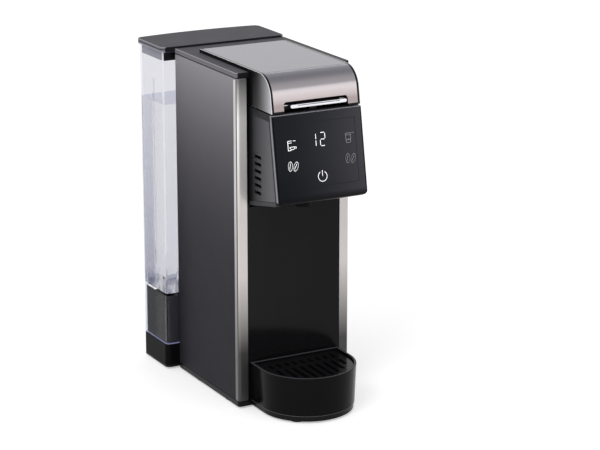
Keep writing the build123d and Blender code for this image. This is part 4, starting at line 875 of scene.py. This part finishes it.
handle_chrome = bright_front("handle_chrome", *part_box("lid_latch"))
coated("hinge_pin", point_steel)
finished("lid_latch", handle_chrome, edge=0.35, steps=3)
coated("latch_pin", point_steel)
coated("latch_spring", zinc)


# Lid switch and coupling
# A small black switch under the well feels the closed lid through a white nylon plunger. A black
# spigot in the well meets the lid's water tube.
switch_black = moulded("switch_black", "18181a", roughness=0.4)
white_nylon = moulded("white_nylon", "d9d8d2", roughness=0.42, drift=0.04)
coated("lid_switch", switch_black)
coated("switch_plunger", white_nylon)
coated("water_coupling", switch_black)


# Drip tray
# The round-fronted tray is polished black plastic, moulded in one. A thin highlight is painted
# along its rounded rim and another along its lower edge above the pan.
foot_highlight_height, lip_height = 0.5 * mm, 0.3 * mm
tray_low, tray_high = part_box("drip_tray")
tray_black = gloss_black("tray_black")
# painted highlights: a pale line along the lower edge and another along the rim
wear_and_highlight = tray_black.place("Z").below(tray_low.z + foot_highlight_height)
lip = tray_black.place("Z").above(tray_high.z - lip_height)
foot_highlit_black = tray_black.mix(wear_and_highlight, "0b0b0c", "5a5a5e")
tray_black.feed(Base_Color=tray_black.mix(lip, foot_highlit_black, "434347"), Specular_IOR_Level=0.06)
finished("drip_tray", tray_black, edge=0.45, steps=3)


# Drip grille
# A plate of the same black plastic, moulded with rows of slots whose edges are eased. It lies
# loose on the tray's ledge and lifts out.
grille_black = gloss_black("grille_black")
finished("drip_grille", grille_black, edge=0.3)


# Dock
# The black moulded block behind the body carries the tank. Its tall plinth fills the tank's skirt
# and shows through the clear wall, its front painted a little paler to lift the shade there.
tank_low, tank_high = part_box("tank_shell")
plinth_reach = 4.0 * mm
dock_black = gloss_black("dock_black")
# painted light: the plinth's front is lighter than the rest of the black
plinth_front_lit = dock_black.place("Y").below(tank_low.y + plinth_reach)
plinth_front_lit = plinth_front_lit * dock_black.place("Z").above(tank_low.z)
dock_black.feed(Base_Color=dock_black.mix(plinth_front_lit, "121214", "3a393c"))
dock_black.feed(Specular_IOR_Level=0.02)
finished("tank_dock", dock_black, edge=0.4)
coated("dock_cover_plate", rear_black)
coated("dock_seal", foot_rubber)
finished("cord_gland", foot_rubber, edge=0.4)


# Tank
# The tank is one clear moulding. A faint blue glow is painted at its rims, highlights are painted
# white along its front corners, and painted shade darkens the rear half of its sides, most at the
# foot. It stands round the plinth and is open at the top.
foot_rim, top_rim = 0.7 * mm, 0.6 * mm
corner_reach, corner_foot, corner_highlight_share = 3.04 * mm, 120 * mm, 0.8
flank_reach, shade_top = 2.4 * mm, 300 * mm
rear_start, rear_full = 97 * mm, 102 * mm


def clear_plastic(name, code, index):
    """Clear plastic or water. Light that only passes through goes straight on."""
    finish = new_finish(name, code, 0.0)
    finish.feed(Transmission_Weight=1.0, IOR=index)
    shadow = finish.node("ShaderNodeLightPath", output="Is Shadow Ray")
    passing = finish.node("ShaderNodeBsdfTransparent", inputs={"Color": "e6e8f0"})
    finish.blend(shadow, passing)
    return finish


tank_clear = clear_plastic("tank_clear", "f0f1f8", index=1.1)
up = tank_clear.place("Z")
inward = tank_clear.inward(tank_low, tank_high)
# painted glow, faint blue, at the foot and top rims
rim_glow = up.below(tank_low.z + foot_rim) + up.above(tank_high.z - top_rim)
tank_clear.feed(Emission_Color=tank_clear.mix(rim_glow, "000000", "7a7fa6"), Emission_Strength=0.4)
rearward = tank_clear.place("Y").ramp(rear_start, rear_full)
# painted shade low on the rear half of the sides
rear_shade = inward.below(flank_reach) * up.ramp(shade_top, 0.0) * rearward
tank_clear.feed(Base_Color=tank_clear.mix(rear_shade, "ebebee", "bbbdc8"))
inset = inward + (tank_clear.place("Y") - tank_low.y)
# painted highlight: white diffuse along the front corners
corner = inset.below(corner_reach) * up.above(corner_foot) * corner_highlight_share
corner_highlight = tank_clear.node("ShaderNodeBsdfDiffuse", inputs={"Color": "f4f4f8"})
tank_clear.blend(corner, corner_highlight)
finished("tank_shell", tank_clear, edge=0.4)


# Water
# The tank is filled to about five sixths. The water follows the tank's wall and stands round the
# filter cap over the valve. Shade is painted into it, darker toward the foot and, along its sides,
# toward the rear, with a painted reflection line at its surface and dark painted reflections near
# its floor.
water_top = 272.0 * mm
water_gap = 0.25 * mm
tank_wall = 2.2 * mm
rear_bow = 5.0 * mm
cap_gap, cap_cover = 0.4 * mm, 0.5 * mm
surface_reach, floor_reflection_rise = 0.1 * mm, 14.3 * mm
filter_low, filter_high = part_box("tank_filter")
water_floor = filter_low.z + 0.2 * mm
water_inset = tank_wall + water_gap


def water_outline(shape, z):
    """The closed line of the water's edge: a bowed rear, then straight sides and front."""
    half = (tank_high.x - tank_low.x) / 2
    bend = (half ** 2 + rear_bow ** 2) / (2 * rear_bow)
    centre = Vector(((tank_low.x + tank_high.x) / 2, tank_high.y - bend, z))
    radius = bend - water_inset
    swing = math.asin((half - water_inset) / radius)
    first = shape.verts.new(centre + Vector((0, radius, 0)))
    bmesh.ops.rotate(shape, verts=[first], cent=centre, matrix=Matrix.Rotation(swing, 3, "Z"))
    rear = bmesh.ops.spin(
        shape, geom=[first], axis=(0, 0, 1), cent=centre, angle=-2 * swing, steps=12)
    ends = bmesh.ops.extrude_vert_indiv(shape, verts=[first, rear["geom_last"][0]])["verts"]
    reach = tank_low.y + water_inset - first.co.y
    bmesh.ops.translate(shape, verts=ends, vec=(0, reach, 0))
    bmesh.ops.contextual_create(shape, geom=ends)
    return shape.edges[:]


water_shape = bmesh.new()
outer = water_outline(water_shape, water_floor)
cap_middle = (filter_low + filter_high) / 2
cap_radius = (filter_high.x - filter_low.x) / 2 + cap_gap
ring = bmesh.ops.create_circle(
    water_shape, segments=32, radius=cap_radius,
    matrix=Matrix.Translation((cap_middle.x, cap_middle.y, water_floor)),
)["verts"]
inner = list({line for vert in ring for line in vert.link_edges})
bmesh.ops.triangle_fill(water_shape, use_beauty=True, use_dissolve=False, edges=outer + inner)
for lines, top in ((outer, water_top), (inner, filter_high.z + cap_cover)):
    grown = bmesh.ops.extrude_edge_only(water_shape, edges=lines)["geom"]
    raised = [item for item in grown if isinstance(item, bmesh.types.BMVert)]
    bmesh.ops.translate(water_shape, verts=raised, vec=(0, 0, top - water_floor))
    edges = [item for item in grown if isinstance(item, bmesh.types.BMEdge)]
    brim = [line for line in edges if set(line.verts) <= set(raised)]
    bmesh.ops.edgeloop_fill(water_shape, edges=brim)
bmesh.ops.recalc_face_normals(water_shape, faces=water_shape.faces)
tank_water = clear_plastic("tank_water", "eef0f8", index=1.2)
up = tank_water.place("Z")
# painted shade: darker toward the foot, and along the sides toward the rear
clear = tank_water.mix(up.ramp(water_top, 0.0), "fafafa", "dadbdf")
rearward = tank_water.place("Y").ramp(rear_start, rear_full)
on_side = tank_water.inward(tank_low, tank_high).below(water_inset + water_gap)
clear = tank_water.mix(on_side, clear, tank_water.mix(rearward, "f2f2f3", "d3d5df"))
# painted reflection line at the surface
clear = tank_water.mix(up.above(water_top - surface_reach), clear, "c3c6da")
# dark painted reflections near the floor
floor_reflections = tank_water.speckle(140, (1, 1, 0.6), 3.0).above(0.5)
floor_reflections = floor_reflections * up.ramp(water_floor + floor_reflection_rise, water_floor)
tank_water.feed(Base_Color=tank_water.mix(floor_reflections, clear, "646980"))
water = piece_of(water_shape, "tank_water", tank_water)
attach(water, "tank")


# Tank lid
# A matte charcoal moulded cap, with the deck's painted highlight round its top and sides painted
# lighter than its top. Its skirt stands inside the tank's mouth, where the front of it shows black
# through the clear wall.
cap_rise, cap_skirt = 2.1 * mm, 7.0 * mm
cap_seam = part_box("tank_lid")[1].z - cap_rise
cap_charcoal = charcoal("cap_charcoal", "tank_lid", cap_seam, cap_skirt)
finished("tank_lid", cap_charcoal, edge=0.25)


# Tank valve
# White nylon mouldings: a cage screwed into the tank's floor, a plug inside it with a wound steel
# spring, and a meshed cap over it.


def coil(node, finish, wire, turns):
    """A wound spring, wire mm thick, in place of the CAD's sleeve."""
    low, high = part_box(node)
    middle = (low + high) / 2
    half = wire * mm / 2
    radius = (high.x - low.x) / 2 - half
    steps = 16 * turns
    shape = bmesh.new()
    start = Matrix.Translation((middle.x + radius, middle.y, low.z + half))
    upright = Matrix.Rotation(math.pi / 2, 4, "X")
    bmesh.ops.create_circle(shape, cap_ends=True, segments=8, radius=half, matrix=start @ upright)
    bmesh.ops.spin(
        shape, geom=shape.verts[:] + shape.edges[:] + shape.faces[:], cent=middle, axis=(0, 0, 1),
        dvec=(0, 0, (high.z - low.z - 2 * half) / steps), angle=2 * math.pi * turns, steps=steps,
    )
    bmesh.ops.recalc_face_normals(shape, faces=shape.faces)
    for face in shape.faces:
        face.smooth = len(face.verts) == 4
    piece = piece_of(shape, node + "_wound", finish)
    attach(piece, frame["nodes"][node]["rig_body"])
    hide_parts(node)
    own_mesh(piece)


coated("tank_valve_body", white_nylon)
coated("valve_poppet", white_nylon)
coil("valve_spring", point_steel, wire=0.6, turns=4)
coated("tank_filter", white_nylon)


# Pump
# A bent steel bridge holds a small vibration pump between two rubber rings. Its coil is moulded in
# black, and an iron piston shakes inside it on a wound spring.
pump_black = moulded("pump_black", "1a1a1b", roughness=0.5)
coated("pump_bracket", zinc)
coated("pump_mounts", foot_rubber)
coated("pump_body", pump_black)
coated("pump_armature", zinc)
coil("pump_spring", point_steel, wire=0.9, turns=3)


# Flow meter
# A round white nylon chamber in the water's way. A six-bladed wheel of the same nylon turns in it
# as the water flows.
coated("flow_meter_body", white_nylon)
coated("flow_impeller", white_nylon)


# Heater
# A cast aluminium heater stands in two steel bands. A disc thermostat sits on its pad and a fuse
# lies along its wall.


def cast_metal(name, code):
    """Sand-blasted cast aluminium."""
    finish = new_finish(name, code, 0.5)
    grit = finish.speckle(900, detail=5.0)
    finish.feed(Base_Color=finish.mix(grit, shade(code, 0.75), code), Metallic=0.9)
    finish.feed(Roughness=grit.spread(0.4, 0.6))
    return finish.relief(grit, 0.1 * mm)


boiler_cast = cast_metal("boiler_cast", "b7b8ba")
coated("boiler", boiler_cast)
coated("boiler_bracket", zinc)
coated("thermostat", pump_black)
coated("thermal_fuse", white_nylon)


# Hoses and leads
# Cloudy silicone hoses join the dock, meter, pump, heater and well, and steel spring clips hold
# their ends. Black leads run from the gland to the mains board and on to the touch board.
lead_black = rubber("lead_black", "121212")
coated("hoses", pale_silicone)
coated("hose_clamps", zinc)
coated("wiring_loom", lead_black)
